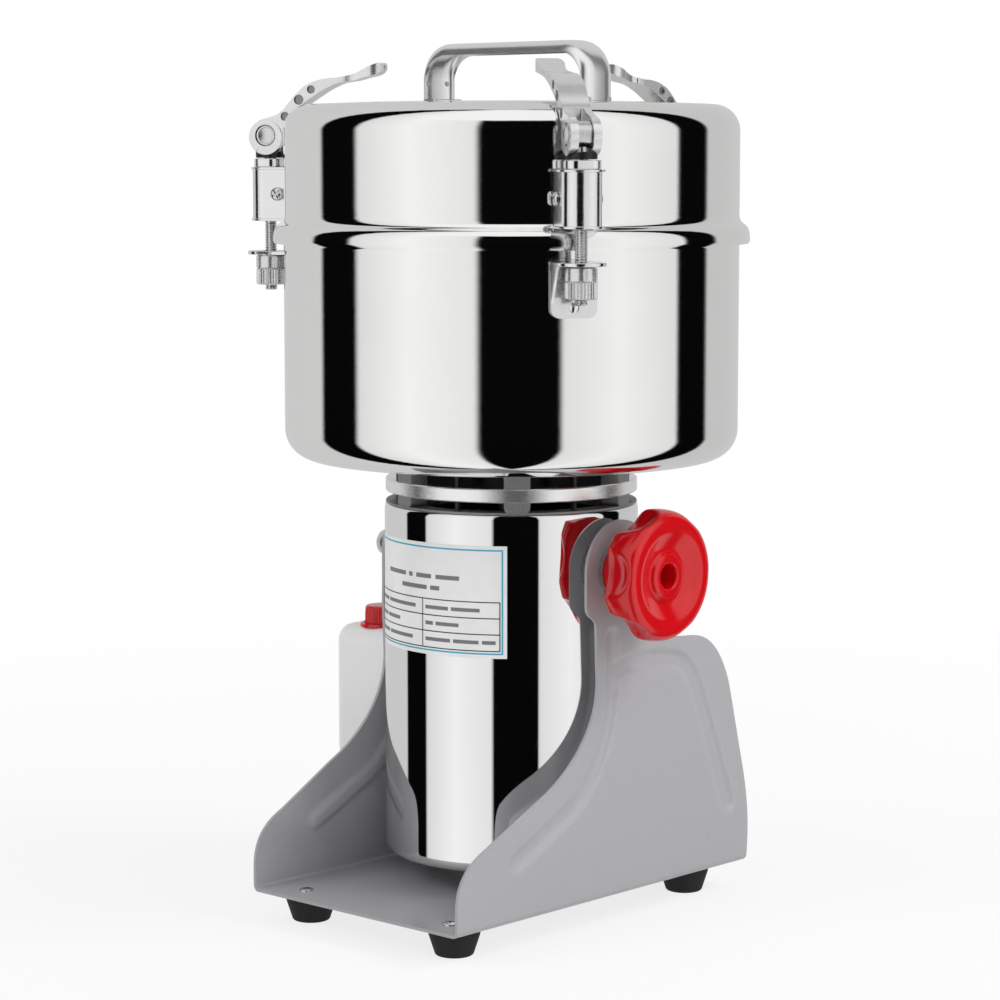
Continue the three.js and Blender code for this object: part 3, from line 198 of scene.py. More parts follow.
def rounded(points, radii, steps=5):
    """A closed outline whose corners are rounded; radii holds one value, or one for each corner."""
    n = len(points)
    out = []
    for i, p in enumerate(points):
        r = radii[i] if isinstance(radii, (list, tuple)) else radii
        p, a, b = Vector(p), Vector(points[i - 1]), Vector(points[(i + 1) % n])
        if r <= 0:
            out.append(tuple(p))
            continue
        u, v = (a - p).normalized(), (b - p).normalized()
        half = u.angle(v) / 2
        d = min(r / math.tan(half), (a - p).length * 0.49, (b - p).length * 0.49)
        r = d * math.tan(half)
        c = p + (u + v).normalized() * (r / math.sin(half))
        s, e = p + u * d - c, p + v * d - c
        sweep = s.angle(e)
        side = 1 if s.cross(e) > 0 else -1
        s0 = math.atan2(s.y, s.x)
        for k in range(steps + 1):
            t = s0 + side * sweep * k / steps
            out.append((c.x + r * math.cos(t), c.y + r * math.sin(t)))
    return out


def smooth_line(points, steps=6):
    """An open run through the points, as a Catmull-Rom curve."""
    p = [Vector(q) for q in points]
    p = [p[0] * 2 - p[1], *p, p[-1] * 2 - p[-2]]
    out = []
    for i in range(1, len(p) - 2):
        for k in range(steps):
            t = k / steps
            slope = (p[i + 1] - p[i - 1]) * t
            bend = (p[i - 1] * 2 - p[i] * 5 + p[i + 1] * 4 - p[i + 2]) * t * t
            swing = (p[i] * 3 - p[i - 1] - p[i + 1] * 3 + p[i + 2]) * t**3
            out.append(0.5 * (p[i] * 2 + slope + bend + swing))
    out.append(p[-2])
    return [tuple(q) for q in out]


def bezier(a, b, c, d, steps=10):
    """Points of a cubic curve after its first one."""
    a, b, c, d = Vector(a), Vector(b), Vector(c), Vector(d)
    return [
        tuple(a * (1 - t) ** 3 + b * 3 * t * (1 - t) ** 2 + c * 3 * t * t * (1 - t) + d * t**3)
        for t in [i / steps for i in range(1, steps + 1)]
    ]


PLANES = {"xy": (0, 1, 2), "xz": (0, 2, 1), "yz": (1, 2, 0)}


def prism(plane, outline, low, high):
    """An outline in a plane, extruded along the third axis."""
    a, b, c = PLANES[plane]

    def at(p, h):
        v = [0.0, 0.0, 0.0]
        v[a], v[b], v[c] = p[0], p[1], h
        return tuple(v)

    n = len(outline)
    verts = [at(p, low) for p in outline] + [at(p, high) for p in outline]
    faces = [tuple(range(n))[::-1], tuple(range(n, 2 * n))]
    faces += [(i, (i + 1) % n, n + (i + 1) % n, n + i) for i in range(n)]
    return raw(verts, faces)


def block(x0, x1, y0, y1, z0, z1):
    return prism("xy", [(x0, y0), (x1, y0), (x1, y1), (x0, y1)], z0, z1)


def rod(axis, at, r, low, high, sides=48):
    """A cylinder along an axis through a point; low and high are measured from the point."""
    return about(lathe([(0, low), (r, low), (r, high), (0, high)], sides), axis, at)


def disc(bore, r, low, high, edge=0.5, sides=128):
    """A flat ring about Z with its outer edges broken."""
    face = [(bore, low), (r - edge, low), (r, low + edge), (r, high - edge), (r - edge, high), (bore, high)]
    return lathe([*face, (bore, low)], sides)


def about(mesh, axis, at=(0, 0, 0)):
    """A mesh drawn about Z, moved so that its axis is along x, y or z through a point."""
    turn = {
        "x": Matrix.Rotation(math.pi / 2, 4, "Y"),
        "y": Matrix.Rotation(-math.pi / 2, 4, "X"),
        "z": Matrix.Identity(4),
    }[axis]
    mesh.transform(Matrix.Translation(at) @ turn)
    return mesh


def loft(rings):
    """A closed skin through rings of equally many points, capped at both ends."""
    n = len(rings[0])
    faces = []
    for i in range(len(rings) - 1):
        for k in range(n):
            m = (k + 1) % n
            faces.append((i * n + k, i * n + m, (i + 1) * n + m, (i + 1) * n + k))
    last = (len(rings) - 1) * n
    faces += [tuple(range(n)), tuple(range(last, last + n))[::-1]]
    return raw([v for ring in rings for v in ring], faces)


def evaluated(mesh, add):
    """The mesh after modifiers that add(object) puts on it."""
    ob = add_object("work", mesh)
    extra = add(ob) or []
    bpy.context.view_layer.update()
    graph = bpy.context.evaluated_depsgraph_get()
    result = bpy.data.meshes.new_from_object(ob.evaluated_get(graph))
    for o in [ob, *extra]:
        data = o.data
        bpy.data.objects.remove(o)
        bpy.data.meshes.remove(data)
    return result


def soften(mesh, width=0.4, segments=2, angle=35):
    """Rounds the edges that are sharper than the angle."""

    def add(ob):
        m = ob.modifiers.new("soften", "BEVEL")
        m.width = width
        m.segments = segments
        m.limit_method = "ANGLE"
        m.angle_limit = math.radians(angle)
        m.use_clamp_overlap = True

    return evaluated(mesh, add)


def combine(mesh, *others, how="DIFFERENCE"):
    """A mesh with others cut from it, kept in common or added."""

    def add(ob):
        tools = []
        for other in others:
            tool = add_object("tool", other)
            m = ob.modifiers.new("cut", "BOOLEAN")
            m.object = tool
            m.operation = how
            m.solver = "EXACT"
            tools.append(tool)
        return tools

    return evaluated(mesh, add)


def together(*meshes):
    """Several meshes as one, without joining their surfaces."""
    bm = bmesh.new()
    for mesh in meshes:
        bm.from_mesh(mesh)
        bpy.data.meshes.remove(mesh)
    mesh = bpy.data.meshes.new("piece")
    bm.to_mesh(mesh)
    bm.free()
    return mesh


def put(name, mesh, material, body, nodes=(), turn=0.0, sharp=38, weighted=True):
    """Makes a finished piece of a mesh, on its body and in place of its CAD nodes."""
    mesh.transform(TO_FRAME @ Matrix.Rotation(math.radians(turn), 4, "Z"))
    mesh.materials.clear()
    mesh.materials.append(MATERIALS[material])
    mesh.polygons.foreach_set("use_smooth", [True] * len(mesh.polygons))
    mesh.set_sharp_from_angle(angle=math.radians(sharp))
    mesh.name = name
    ob = add_object(name, mesh)
    if weighted:
        m = ob.modifiers.new("normals", "WEIGHTED_NORMAL")
        m.keep_sharp = True
    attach(ob, body)
    if nodes:
        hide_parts(*nodes)
    return ob


# Materials
EVEN = (1, 1, 1)


def grey(v):
    return (v, v, v)


def node_maker(tree):
    """Gives add(kind, {input: value or socket}, setting=value), which adds a node to the tree."""

    def add(kind, inputs=None, **settings):
        node = tree.nodes.new("ShaderNode" + kind)
        for key, value in settings.items():
            setattr(node, key, value)
        for key, value in (inputs or {}).items():
            if isinstance(value, bpy.types.NodeSocket):
                tree.links.new(value, node.inputs[key])
            else:
                node.inputs[key].default_value = value
        return node

    return add


def ramp(add, fac, stops):
    """A colour ramp over fac, from stops of (position, colour)."""
    node = add("ValToRGB", {"Fac": fac})
    elements = node.color_ramp.elements
    while len(elements) < len(stops):
        elements.new(0.5)
    for element, (position, colour) in zip(elements, stops):
        element.position = position
        element.color = (*colour, 1)
    return node.outputs["Color"]


class Nodes:
    """Builds one material's nodes; looks are inputs of the shader, with _ for a blank."""

    def __init__(self, name, **looks):
        self.material = bpy.data.materials.new(name)
        self.material.use_nodes = True
        tree = self.material.node_tree
        self.add, self.link = node_maker(tree), tree.links.new
        self.shader = tree.nodes["Principled BSDF"]
        self.coords = self.add("TexCoord").outputs["Object"]
        for key, value in looks.items():
            self.shader.inputs[key.replace("_", " ")].default_value = value

    def noise(self, scale, stretch=EVEN, detail=3.0, rough=0.55):
        at = self.add("Mapping", {"Scale": stretch, "Vector": self.coords}).outputs["Vector"]
        values = {"Vector": at, "Scale": scale, "Detail": detail, "Roughness": rough}
        return self.add("TexNoise", values).outputs["Fac"]

    def colour(self, fac, *stops):
        self.link(ramp(self.add, fac, stops), self.shader.inputs["Base Color"])

    def rough(self, fac, low, high):
        spread = self.add("MapRange", {"Value": fac, "To Min": low, "To Max": high})
        self.link(spread.outputs["Result"], self.shader.inputs["Roughness"])

    def bump(self, *layers):
        """layers of (height, strength, distance in metres)."""
        normal = {}
        for height, strength, distance in layers:
            values = {"Height": height, "Strength": strength, "Distance": distance}
            normal = {"Normal": self.add("Bump", {**values, **normal}).outputs["Normal"]}
        self.link(normal["Normal"], self.shader.inputs["Normal"])


def times(base, share):
    return tuple(min(1, c * share) for c in base)


def steel(name, base, low, high, brush, scale, stretch=EVEN, grain=400.0, metallic=1.0):
    """Steel whose brush lines run round the object where the noise is stretched along Z."""
    n = Nodes(name, Metallic=metallic)
    n.colour(n.noise(scale * 0.15, detail=4), (0.3, times(base, 0.96)), (0.7, base))
    lines = n.noise(scale, stretch, 4, 0.6)
    n.rough(lines, low, high)
    if brush:
        n.bump((lines, brush, 0.0004), (n.noise(grain, detail=2), brush * 0.5, 0.0001))
    return n.material


def paint(name, base, low, high, peel, speckle):
    """Baked paint with an orange peel and fine flecks."""
    n = Nodes(name, Metallic=0.0, Coat_Weight=0.25, Coat_Roughness=0.18)
    fleck = n.noise(2600.0, EVEN, 2, 0.7)
    n.colour(fleck, (0.3, times(base, 1 - speckle)), (0.5, base), (0.72, times(base, 1 + speckle)))
    n.rough(n.noise(30.0), low, high)
    n.bump((n.noise(420.0), peel, 0.0003), (fleck, peel * 0.5, 0.0001))
    return n.material


def plastic(name, base, low, high, peel, coat=0.0):
    n = Nodes(name, Coat_Weight=coat, Coat_Roughness=0.06)
    n.colour(n.noise(40.0), (0.3, times(base, 0.93)), (0.7, base))
    n.rough(n.noise(120.0), low, high)
    n.bump((n.noise(900.0, detail=2), peel, 0.0001))
    return n.material


def cast(name, base):
    n = Nodes(name, Metallic=0.9)
    grain = n.noise(1400.0, EVEN, 4, 0.7)
    n.colour(grain, (0.3, times(base, 0.7)), (0.65, base))
    n.rough(grain, 0.35, 0.62)
    n.bump((grain, 0.6, 0.0003))
    return n.material


def paper(name, dark, light):
    """A sticker's white, faintly uneven and under a thin gloss."""
    n = Nodes(name, Roughness=0.32, Coat_Weight=0.3, Coat_Roughness=0.1)
    n.colour(n.noise(90.0), (0.3, dark), (0.7, light))
    return n.material


MATERIALS, SLOT_OF = {}, {}


def finish(name, slot, make, *looks):
    """Makes a material and notes the record's slot that its pieces take."""
    MATERIALS[name] = make(name, *looks)
    SLOT_OF[name] = slot


finish("satin_steel", "polished_steel", steel, (0.9, 0.9, 0.89), 0.025, 0.06, 0.02, 90, (1, 1, 60))
finish("mirror_steel", "polished_steel", steel, grey(0.88), 0.03, 0.05, 0.0, 30, (1, 1, 3))
finish("pressed_steel", "polished_steel", steel, (0.83, 0.83, 0.84), 0.12, 0.22, 0.08, 250)
finish("lever_steel", "polished_steel", steel, grey(0.82), 0.22, 0.3, 0.012, 120, EVEN, 900.0, 0.88)
finish("machined", "cast_aluminium", steel, (0.92, 0.92, 0.91), 0.1, 0.16, 0.15, 160, (1, 1, 60), 900.0, 0.82)
finish("handle_steel", "brushed_steel", steel, grey(0.9), 0.2, 0.3, 0.02, 120, (1, 8, 8), 400.0, 0.9)
finish("dull_steel", "brushed_steel", steel, grey(0.76), 0.22, 0.32, 0.1, 400, EVEN, 900.0, 0.85)
finish("fastener", "brushed_steel", steel, (0.7, 0.7, 0.71), 0.2, 0.32, 0.1, 500)
finish("blade_steel", "brushed_steel", steel, (0.72, 0.72, 0.73), 0.2, 0.34, 0.1, 200, (1, 12, 1))
# Darkened steel: painted shade for the floors of the lever's dimples.
finish("dark_steel", "brushed_steel", steel, grey(0.3), 0.3, 0.45, 0.1, 300)
finish("black_steel", "black_steel", steel, (0.05, 0.05, 0.055), 0.35, 0.5, 0.1, 600)
finish("copper", "copper", steel, (0.65, 0.3, 0.13), 0.25, 0.4, 0.4, 160, (1, 1, 30))
finish("lamination", "lamination", steel, (0.25, 0.25, 0.27), 0.4, 0.55, 0.5, 60, (1, 1, 60))
finish("cast", "cast_aluminium", cast, grey(0.42))
# Near black cast: painted shade for the dark recess between the motor and the bowl.
finish("dark_cast", "cast_aluminium", cast, grey(0.07))
finish("grey_paint", "grey_paint", paint, (0.42, 0.417, 0.435), 0.26, 0.36, 0.1, 0.1)
finish("light_paint", "light_paint", paint, grey(0.9), 0.3, 0.4, 0.12, 0.03)
finish("red", "red_plastic", plastic, (0.62, 0.001, 0.006), 0.14, 0.22, 0.04, 0.2)
finish("black_plastic", "black_plastic", plastic, (0.02, 0.02, 0.022), 0.35, 0.5, 0.2)
finish("rubber", "rubber", plastic, (0.012, 0.012, 0.013), 0.6, 0.8, 0.3)
finish("silicone", "silicone", plastic, (0.75, 0.74, 0.7), 0.45, 0.6, 0.1)
finish("label_paper", "light_paint", paper, (0.86, 0.87, 0.87), grey(0.92))
finish("ink_grey", "black_plastic", plastic, (0.2, 0.2, 0.21), 0.4, 0.5, 0.02)
finish("ink_black", "black_plastic", plastic, (0.02, 0.02, 0.022), 0.4, 0.5, 0.02)
finish("ink_blue", "black_plastic", plastic, (0.05, 0.42, 0.62), 0.4, 0.5, 0.02)

# CAD nodes that stay as they are get a finished material.
KEPT = {
    "fastener": [
        "pivot_stud", "pivot_spacer", "knob_washer", "lower_bearing", "upper_bearing",
        "blade_spacer_lower", "blade_spacer_upper", "blade_nut",
    ],
    "blade_steel": ["motor_shaft", "lower_beater", "middle_blade", "upper_blade"],
    "cast": ["lower_bearing_bracket"],
    "lamination": ["stator_core", "armature_core"],
    "copper": ["field_coil_front", "field_coil_rear", "commutator"],
    "black_plastic": ["brush_holder_left", "brush_holder_right", "cooling_fan", "timer_knob", "cable_gland"],
    "rubber": ["shaft_seal"],
    "silicone": ["lid_seal"],
}
for material, nodes in KEPT.items():
    for node in nodes:
        data = bpy.data.objects[node].data
        data.materials.clear()
        data.materials.append(MATERIALS[material])


# Bowl, lid and motor
def bowl():
    """A drawn cup with a bore for the shaft and a rolled flange."""
    r, z, e, top = BOWL_R, BOWL_BOTTOM, BOWL_EDGE, FLANGE_TOP
    bore = 9.7
    outer = arc(r - e, z + e, e, -90, 0, 14)
    inner = arc(r - e, z + e, e - SHEET, 0, -90, 10)
    rim = [(r, top - 3.1), (r + 0.6, top - 1.9), (r + 2.4, top - SHEET), (FLANGE_R, top - 0.8)]
    rim += [(FLANGE_R - 0.6, top), (r + 0.4, top), (r - SHEET, top - 0.5)]
    profile = [(bore, z), *outer, *rim, (r - SHEET, top - 4), *inner, (bore, z + SHEET), (bore, z)]
    put("bowl_shell", lathe(profile, 192), "satin_steel", "head", ["bowl"])


def lid():
    """A shallow dome whose skirt flares out over the bowl's flange."""
    r, e, top = BOWL_R, LID_EDGE, LID_TOP
    centre = top - 1 - e
    outer = arc(r - e, centre, e, 88, 0, 14)
    inner = arc(r - e, centre, e - SHEET, 0, 90, 10)
    flat = [(0, top), (40, top), (62, top), (66, top - 0.03), (72, top - 0.2), (84, top - 0.65)]
    low = SKIRT_BOTTOM
    flare = [(r, low + 16), (r, low + 12.6), (r + 0.9, low + 10), (r + 3.4, low + 7.8)]
    flare = smooth_line([*flare, (SKIRT_R - 0.4, low + 5.2), (SKIRT_R, low + 1.4)], 5)
    back = [(SKIRT_R - 0.5, low + 0.1), (SKIRT_R - 1.2, low + 0.5), (SKIRT_R - 1.5, low + 4.6)]
    back += [(r + 1.8, low + 7.4), (r - 0.6, low + 9.4), (r - SHEET, low + 13)]
    under = [(66, top - SHEET - 0.1), (0, top - SHEET)]
    shell = lathe([*flat, *outer, *flare, *back, *inner, *under], 192)
    put("lid_shell", shell, "satin_steel", "lid", ["lid"])


def motor_housing():
    """A drawn cup with a ring of vents in its floor and a hole through both sides for the pivots."""
    r, z, e, t, top = MOTOR_R, MOTOR_BOTTOM, 5.5, MOTOR_WALL, MOTOR_TOP
    profile = [(0, z), (r / 2, z), *arc(r - e, z + e, e, -90, 0, 10), (r, top - 2.8), (r - 0.3, top - 0.8)]
    profile += [(r - 1, top), (r - t, top), *arc(r - e, z + e, e - t, 0, -90, 6), (0, z + t)]
    count, out, vent_r = 8, 36, 5
    vents = [rod("z", (x, y, z), vent_r, -2, 5, 24) for x, y in arc(0, 0, out, 0, 360, count)[:count]]
    pivots = rod("x", (0, 0, PIVOT_Z), PIVOT_R + GAP, -r - 10, r + 10)
    shell = combine(lathe(profile, 160), together(*vents), pivots)
    put("motor_cup", shell, "mirror_steel", "head", ["motor_housing"])


def collar():
    """The casting between motor and bowl: foot, machined band and plate, joined by six rounded lugs."""
    r = MOTOR_R - 0.5
    rim, plate_low, plate_top = MOTOR_TOP + GAP, BOWL_BOTTOM - 3.0, BOWL_BOTTOM - GAP
    band_top = plate_low - 6.2
    band_low = band_top - 6.3
    spigot = MOTOR_R - MOTOR_WALL - GAP
    bearing_low, bearing_high = span("upper_bearing")
    seat_low, seat_top, seat_r = bearing_low.z - 3, bearing_high.z + 3, bearing_high.x + GAP
    foot = [(r - 10, rim - 6), (spigot, rim - 6), (spigot, rim), (r, rim), (r - 0.2, rim + 0.9)]
    foot = lathe([*foot, (r - 10, rim + 0.9), (r - 10, rim - 6)], 128)
    band = disc(r - 8, r, band_low, band_top)
    plate = disc(10, r, plate_low, plate_top)
    seat = [(seat_r, seat_low), (seat_r + 4.7, seat_low), (seat_r + 4.7, seat_top), (seat_r, seat_top)]
    seat = lathe([*seat, seat[0]], 64)
    # dark gathers the fins and seat blocks inside the collar, which are painted near black as shade.
    lugs, dark = [], []
    corners = [(-6, rim + 0.2), (6, rim + 0.2), (6, plate_low + 0.5), (-6, plate_low + 0.5)]
    for k in range(6):
        turn = Matrix.Rotation(math.radians(15 + 60 * k), 4, "Z")
        lug = soften(prism("yz", rounded(corners, [3, 3, 1, 1]), r - 9.6, r - 0.4), 0.5)
        fin = block(r - 8, r - 5, -0.8, 0.8, rim, seat_top)
        fin.transform(Matrix.Rotation(math.radians(30), 4, "Z"))
        inner = [fin]
        if k % 2 == 0:
            inner.append(block(seat_r + 2.7, r - 7, -3, 3, seat_low + 5, seat_top))
        for part in (lug, *inner):
            part.transform(turn)
        lugs.append(lug)
        dark += inner
    put("collar_band", band, "machined", "head", ["collar_casting"])
    put("collar_lugs", together(foot, *lugs), "cast", "head")
    # The plate, the bearing seat and the inner fins take the near black cast: painted shade standing for the
    # shaded recess under the bowl.
    put("collar_frame", together(plate, seat, *dark), "dark_cast", "head")


def handle():
    """A strap with curled edges, bent to a U, with two small domes on the inner face of one leg."""
    half, top, bend, lip, thick = 54.2, span("lid_handle")[1].z, 16.0, 5.4, 1.6
    low, shift, wide = LID_TOP + GAP, 2.55, 9.75
    edge = [(wide, lip), (wide, 4.6), (wide - 0.3, 3.2), (wide - 1, 1.9), (wide - 2.2, 0.9)]
    edge += [(wide - 4, 0.25), (3, 0)]
    inside = [(3, 1.4), (wide - 4.2, 1.6), (wide - 2.8, 2.3), (wide - 1.9, 3.4), (wide - 1.5, 4.8)]
    inside.append((wide - 1.4, lip))
    section = [(-y, d) for y, d in edge] + [(y, d) for y, d in reversed(edge)]
    section += [(y, d) for y, d in reversed(inside)] + [(-y, d) for y, d in inside]
    path = [(-half, low, -1, 0), (-half, top - bend - 2, -1, 0)]
    for centre, first in ((bend - half, 180), (half - bend, 90)):
        for c, s in arc(0, 0, 1, first, first - 90, 12):
            path.append((centre + bend * c, top - bend + bend * s, c, s))
    path += [(half, top - bend - 2, 1, 0), (half, low, 1, 0)]
    rings = []
    for x, z, nx, nz in path:
        # The curled edges are lowest down the legs.
        keep = 0.4 + 0.6 * abs(nz)
        depths = [(y, min(d, thick) + keep * max(0, d - thick)) for y, d in section]
        rings.append([(x - nx * d, y, z - nz * d) for y, d in depths])
    parts = [loft(rings)]
    for side in (-1, 1):
        x = side * (half - 5)
        corners = [(x - 4.8, -wide + 1), (x + 4.8, -wide + 1), (x + 4.8, wide - 1), (x - 4.8, wide - 1)]
        parts.append(soften(prism("xy", rounded(corners, 1.5), low, low + thick), 0.3))
    move = Matrix.Rotation(math.radians(HANDLE_TURN), 4, "Z") @ Matrix.Translation((shift, 0, 0))
    strap = together(*parts)
    strap.transform(move)
    put("handle_strap", strap, "handle_steel", "lid", ["lid_handle"])
    domes = []
    for y in (-6.1, 6.1):
        dome = about(lathe([(0, -0.4), (1.25, -0.4), (1.15, 0.4), (0.75, 0.9), (0, 1.1)], 20), "x")
        dome.transform(Matrix.Translation((-half + thick - 0.1, y, LID_TOP + 9.2)))
        domes.append(dome)
    domes = together(*domes)
    domes.transform(move)
    put("handle_domes", domes, "fastener", "lid")


# Stand
def wall_outline(neck):
    """The outline of a stand wall as (y, z), as the CAD source draws it."""
    low, front, back, pz = STAND_LOW, STAND_FRONT, STAND_BACK, PIVOT_Z
    lobe = LOBE_SHIFT - LOBE_R
    end = math.radians(-40)
    y1, z1 = LOBE_SHIFT + LOBE_R * math.cos(end), pz + LOBE_R * math.sin(end)
    foot = pz - LOBE_R
    p = [(front, low), (front, low + 12)]
    p += bezier(p[-1], (front, low + 27), (front + 10, low + 33), (front + 18, low + 36.5), 14)
    p.append((neck - 37, low + 54.4))
    p += bezier(p[-1], (neck - 13, low + 66), (neck, low + 84), (neck, low + 102), 20)
    p.append((neck - 1, foot - 2))
    p += bezier(p[-1], (neck - 1, foot + 3), (lobe, foot + 2), (lobe, foot + 8), 10)
    p += arc(LOBE_SHIFT, pz, LOBE_R, 180, -40, 44)
    p += bezier(p[-1], (y1 - 4.5, z1 - 6.5), (y1, SHOULDER_Z + 1.5), (y1 + 13, SHOULDER_Z + 1), 14)
    p.append((back - 40, SHOULDER_Z - 1))
    p += bezier(p[-1], (back - 26, SHOULDER_Z - 2.5), (back - 17.5, 113), (back - 14, 101), 14)
    p.append((back - 2.5, 57))
    bulge = back + STAND_BULGE
    p += bezier(p[-1], (back, 46), (bulge, 38), (bulge, 30), 10)
    p += bezier(p[-1], (bulge, 23), (back + 0.5, 18), (back, low), 8)
    return p


# Middle lines of the pressed beads as (y, z), one up the neck and one round the shoulder, and their section.
BEADS = [
    [(-68, 41), (-45, 52), (-24, 64), (-11, 82), (-4.5, 100), (-2.5, 118), (-3, 136)],
    [(-2.5, 118), (11, 122), (42, 119.5), (55, 111), (64, 93), (75, 66), (84, 44)],
]
BEAD_DEPTH, BEAD_FLAT, BEAD_SLOPE = 1.8, 2.2, 3.0


def stand_half(side, neck):
    """Half of the bent sheet: its wall, its bend and half of its plate, with beads pressed inwards."""
    step = 1.25
    out, bend, low = WALL_OUT, STAND_BEND, STAND_LOW
    run = [(0.0, low), (out - bend - 20, low)]
    run += arc(out - bend, low + bend, bend, -90, 0, 8)
    z = run[-1][1]
    while z < PIVOT_Z + LOBE_R + 5:
        z += step
        run.append((out, z))
    normals = []
    for i in range(len(run)):
        a, b = Vector(run[max(i - 1, 0)]), Vector(run[min(i + 1, len(run) - 1)])
        t = (b - a).normalized()
        normals.append((-t.y, t.x))
    rings = []
    for i in range(int((STAND_BACK - STAND_FRONT + 7.5) / step)):
        y = STAND_FRONT - 3 + step * i
        inner = [(x + nx * SHEET, y, z + nz * SHEET) for (x, z), (nx, nz) in zip(run, normals)]
        rings.append([(x, y, z) for x, z in run] + inner[::-1])
    keep = prism("yz", wall_outline(neck), -1, out + 15)
    sheet = combine(loft(rings), keep, how="INTERSECT")
    sheet = combine(sheet, rod("x", (0, 0, PIVOT_Z), PIVOT_R + 0.4, out - 15, out + 15))
    press(sheet)
    if side < 0:
        sheet.transform(Matrix.Scale(-1, 4, (1, 0, 0)))
        sheet.flip_normals()
    return sheet


def press(sheet):
    """Presses the beads into the wall, by each point's distance from their middle lines."""
    line = []
    for curve in BEADS:
        points = smooth_line(curve, 8)
        for a, b in zip(points, points[1:]):
            line += [Vector((0, *a)).lerp(Vector((0, *b)), t) for t in (0, 0.25, 0.5, 0.75)]
    tree = kdtree.KDTree(len(line))
    for k, point in enumerate(line):
        tree.insert(point, k)
    tree.balance()
    for v in sheet.vertices:
        if v.co.x > WALL_OUT - 2.2 and v.co.z > STAND_LOW + 16:
            away = tree.find((0, v.co.y, v.co.z))[2]
            share = min(1, max(0, away - BEAD_FLAT) / BEAD_SLOPE)
            v.co.x -= BEAD_DEPTH * (0.5 + 0.5 * math.cos(math.pi * share))


FEET = [f"foot_{row}_{side}" for row in ("front", "rear") for side in ("left", "right")]


def cross(long, wide, low, high, turn=0.0):
    """The cutter of a cross recess."""
    corners = []
    for sx, sy in ((1, 1), (-1, 1), (-1, -1), (1, -1)):
        corner = [(sx * long, sy * wide), (sx * wide, sy * wide), (sx * wide, sy * long)]
        corners += corner if sx == sy else corner[::-1]
    mesh = prism("xy", corners, low, high)
    mesh.transform(Matrix.Rotation(turn, 4, "Z"))
    return mesh


def stand():
    """The bent sheet and the screws of the feet, whose front pair sits a little off the feet's middles."""
    halves = together(stand_half(1, NECK_RIGHT), stand_half(-1, NECK_LEFT))
    put("stand_sheet", halves, "grey_paint", "stand", ["stand_frame"], sharp=32, weighted=False)
    screws = []
    for x, y in (middle(name).xy for name in FEET):
        head = lathe([(0, 0), (3.4, 0), (3.3, 0.5), (2.4, 0.95), (0, 1.0)], 32)
        head = combine(head, cross(1.9, 0.45, 0.3, 2, 0.6 + x * 0.01 + y * 0.02))
        right, forward = (2, 5) if y < 0 else (0, 0)
        screws.append(about(head, "z", (x + right, y - forward, PLATE_TOP)))
    put("plate_screws", together(*screws), "fastener", "stand")


def feet():
    """Tapered rubber feet, widest under the plate."""
    top = STAND_LOW - GAP
    for name in FEET:
        x, y = middle(name).xy
        profile = [(0, 0), (6, 0), *arc(7.4, 1.6, 1.6, -90, -10, 6), (11.6, top - 3.8)]
        mesh = lathe([*profile, *arc(10.6, top - 1.4, 1.4, -10, 90, 6), (0, top)], 64)
        put(name + "_rubber", about(mesh, "z", (x, y, 0)), "rubber", "stand", [name])


# Control box
def control_box():
    """The moulded cover with its screws, and the push switch with its bezel."""
    (x0, y0, z0), (x1, y1, z1) = span("control_box")
    button, timer, gland = middle("power_button"), middle("timer_knob"), middle("cable_gland")
    e = 6.5
    rings = []
    for x, s in [(x1, 0.0), *((x0 + e - e * s, e - e * c) for c, s in arc(0, 0, 1, 0, 90, 7))]:
        corners = [(y0 + s, z0 + s), (y1 - s, z0 + s), (y1 - s, z1 - s), (y0 + s, z1 - s)]
        rings.append([(x, y, z) for y, z in rounded(corners, 8.5 - min(s, 6.0), 7)])
    holes = [
        rod("z", (button.x, button.y, z1), 9.4, -8, 8, 64),
        rod("x", (x0, timer.y, timer.z), 3.9, -8, 8),
        rod("y", (gland.x, y1, gland.z), 7.3, -8, 8),
    ]
    cover = combine(loft(rings), together(*holes))
    put("box_cover", cover, "light_paint", "stand", ["control_box"], sharp=40)
    lip = [(9.4, -0.6), (11.4, -0.6), (11.4, 0), (10.8, 1.1), (9.4, 1.1), (9.4, -0.6)]
    put("button_bezel", about(lathe(lip, 64), "z", (button.x, button.y, z1)), "red", "stand")
    trim = []
    for y in (y0 + 9, y1 - 9):
        for z in (z0 + 9, z1 - 9):
            screw = about(lathe([(0, 0), (2.6, 0), (2.4, 0.8), (0, 1.2)], 24), "x")
            screw.transform(Matrix.Translation((x0 + 0.1, y, z)) @ Matrix.Rotation(math.pi, 4, "Z"))
            trim.append(screw)
    put("box_trim", together(*trim), "fastener", "stand")
    top, ribs = span("power_button")[1].z, 40

    def ribbed(r, z, a):
        if r < 8.4 or z > top - 1.2:
            return r
        return r - 0.28 * (0.5 + 0.5 * math.cos(ribs * a))

    profile = [(0, z1 - 3.5), (9, z1 - 3.5), (9, z1 - 1), (8.9, top - 3.7), (8.7, top - 1.3)]
    cap = lathe([*profile, *arc(7.5, top - 1.3, 1.2, 0, 90, 5), (5, top), (0, top)], 240, ribbed)
    cap = about(cap, "z", (button.x, button.y, 0))
    put("button_cap", cap, "red", "power_button", ["power_button"])


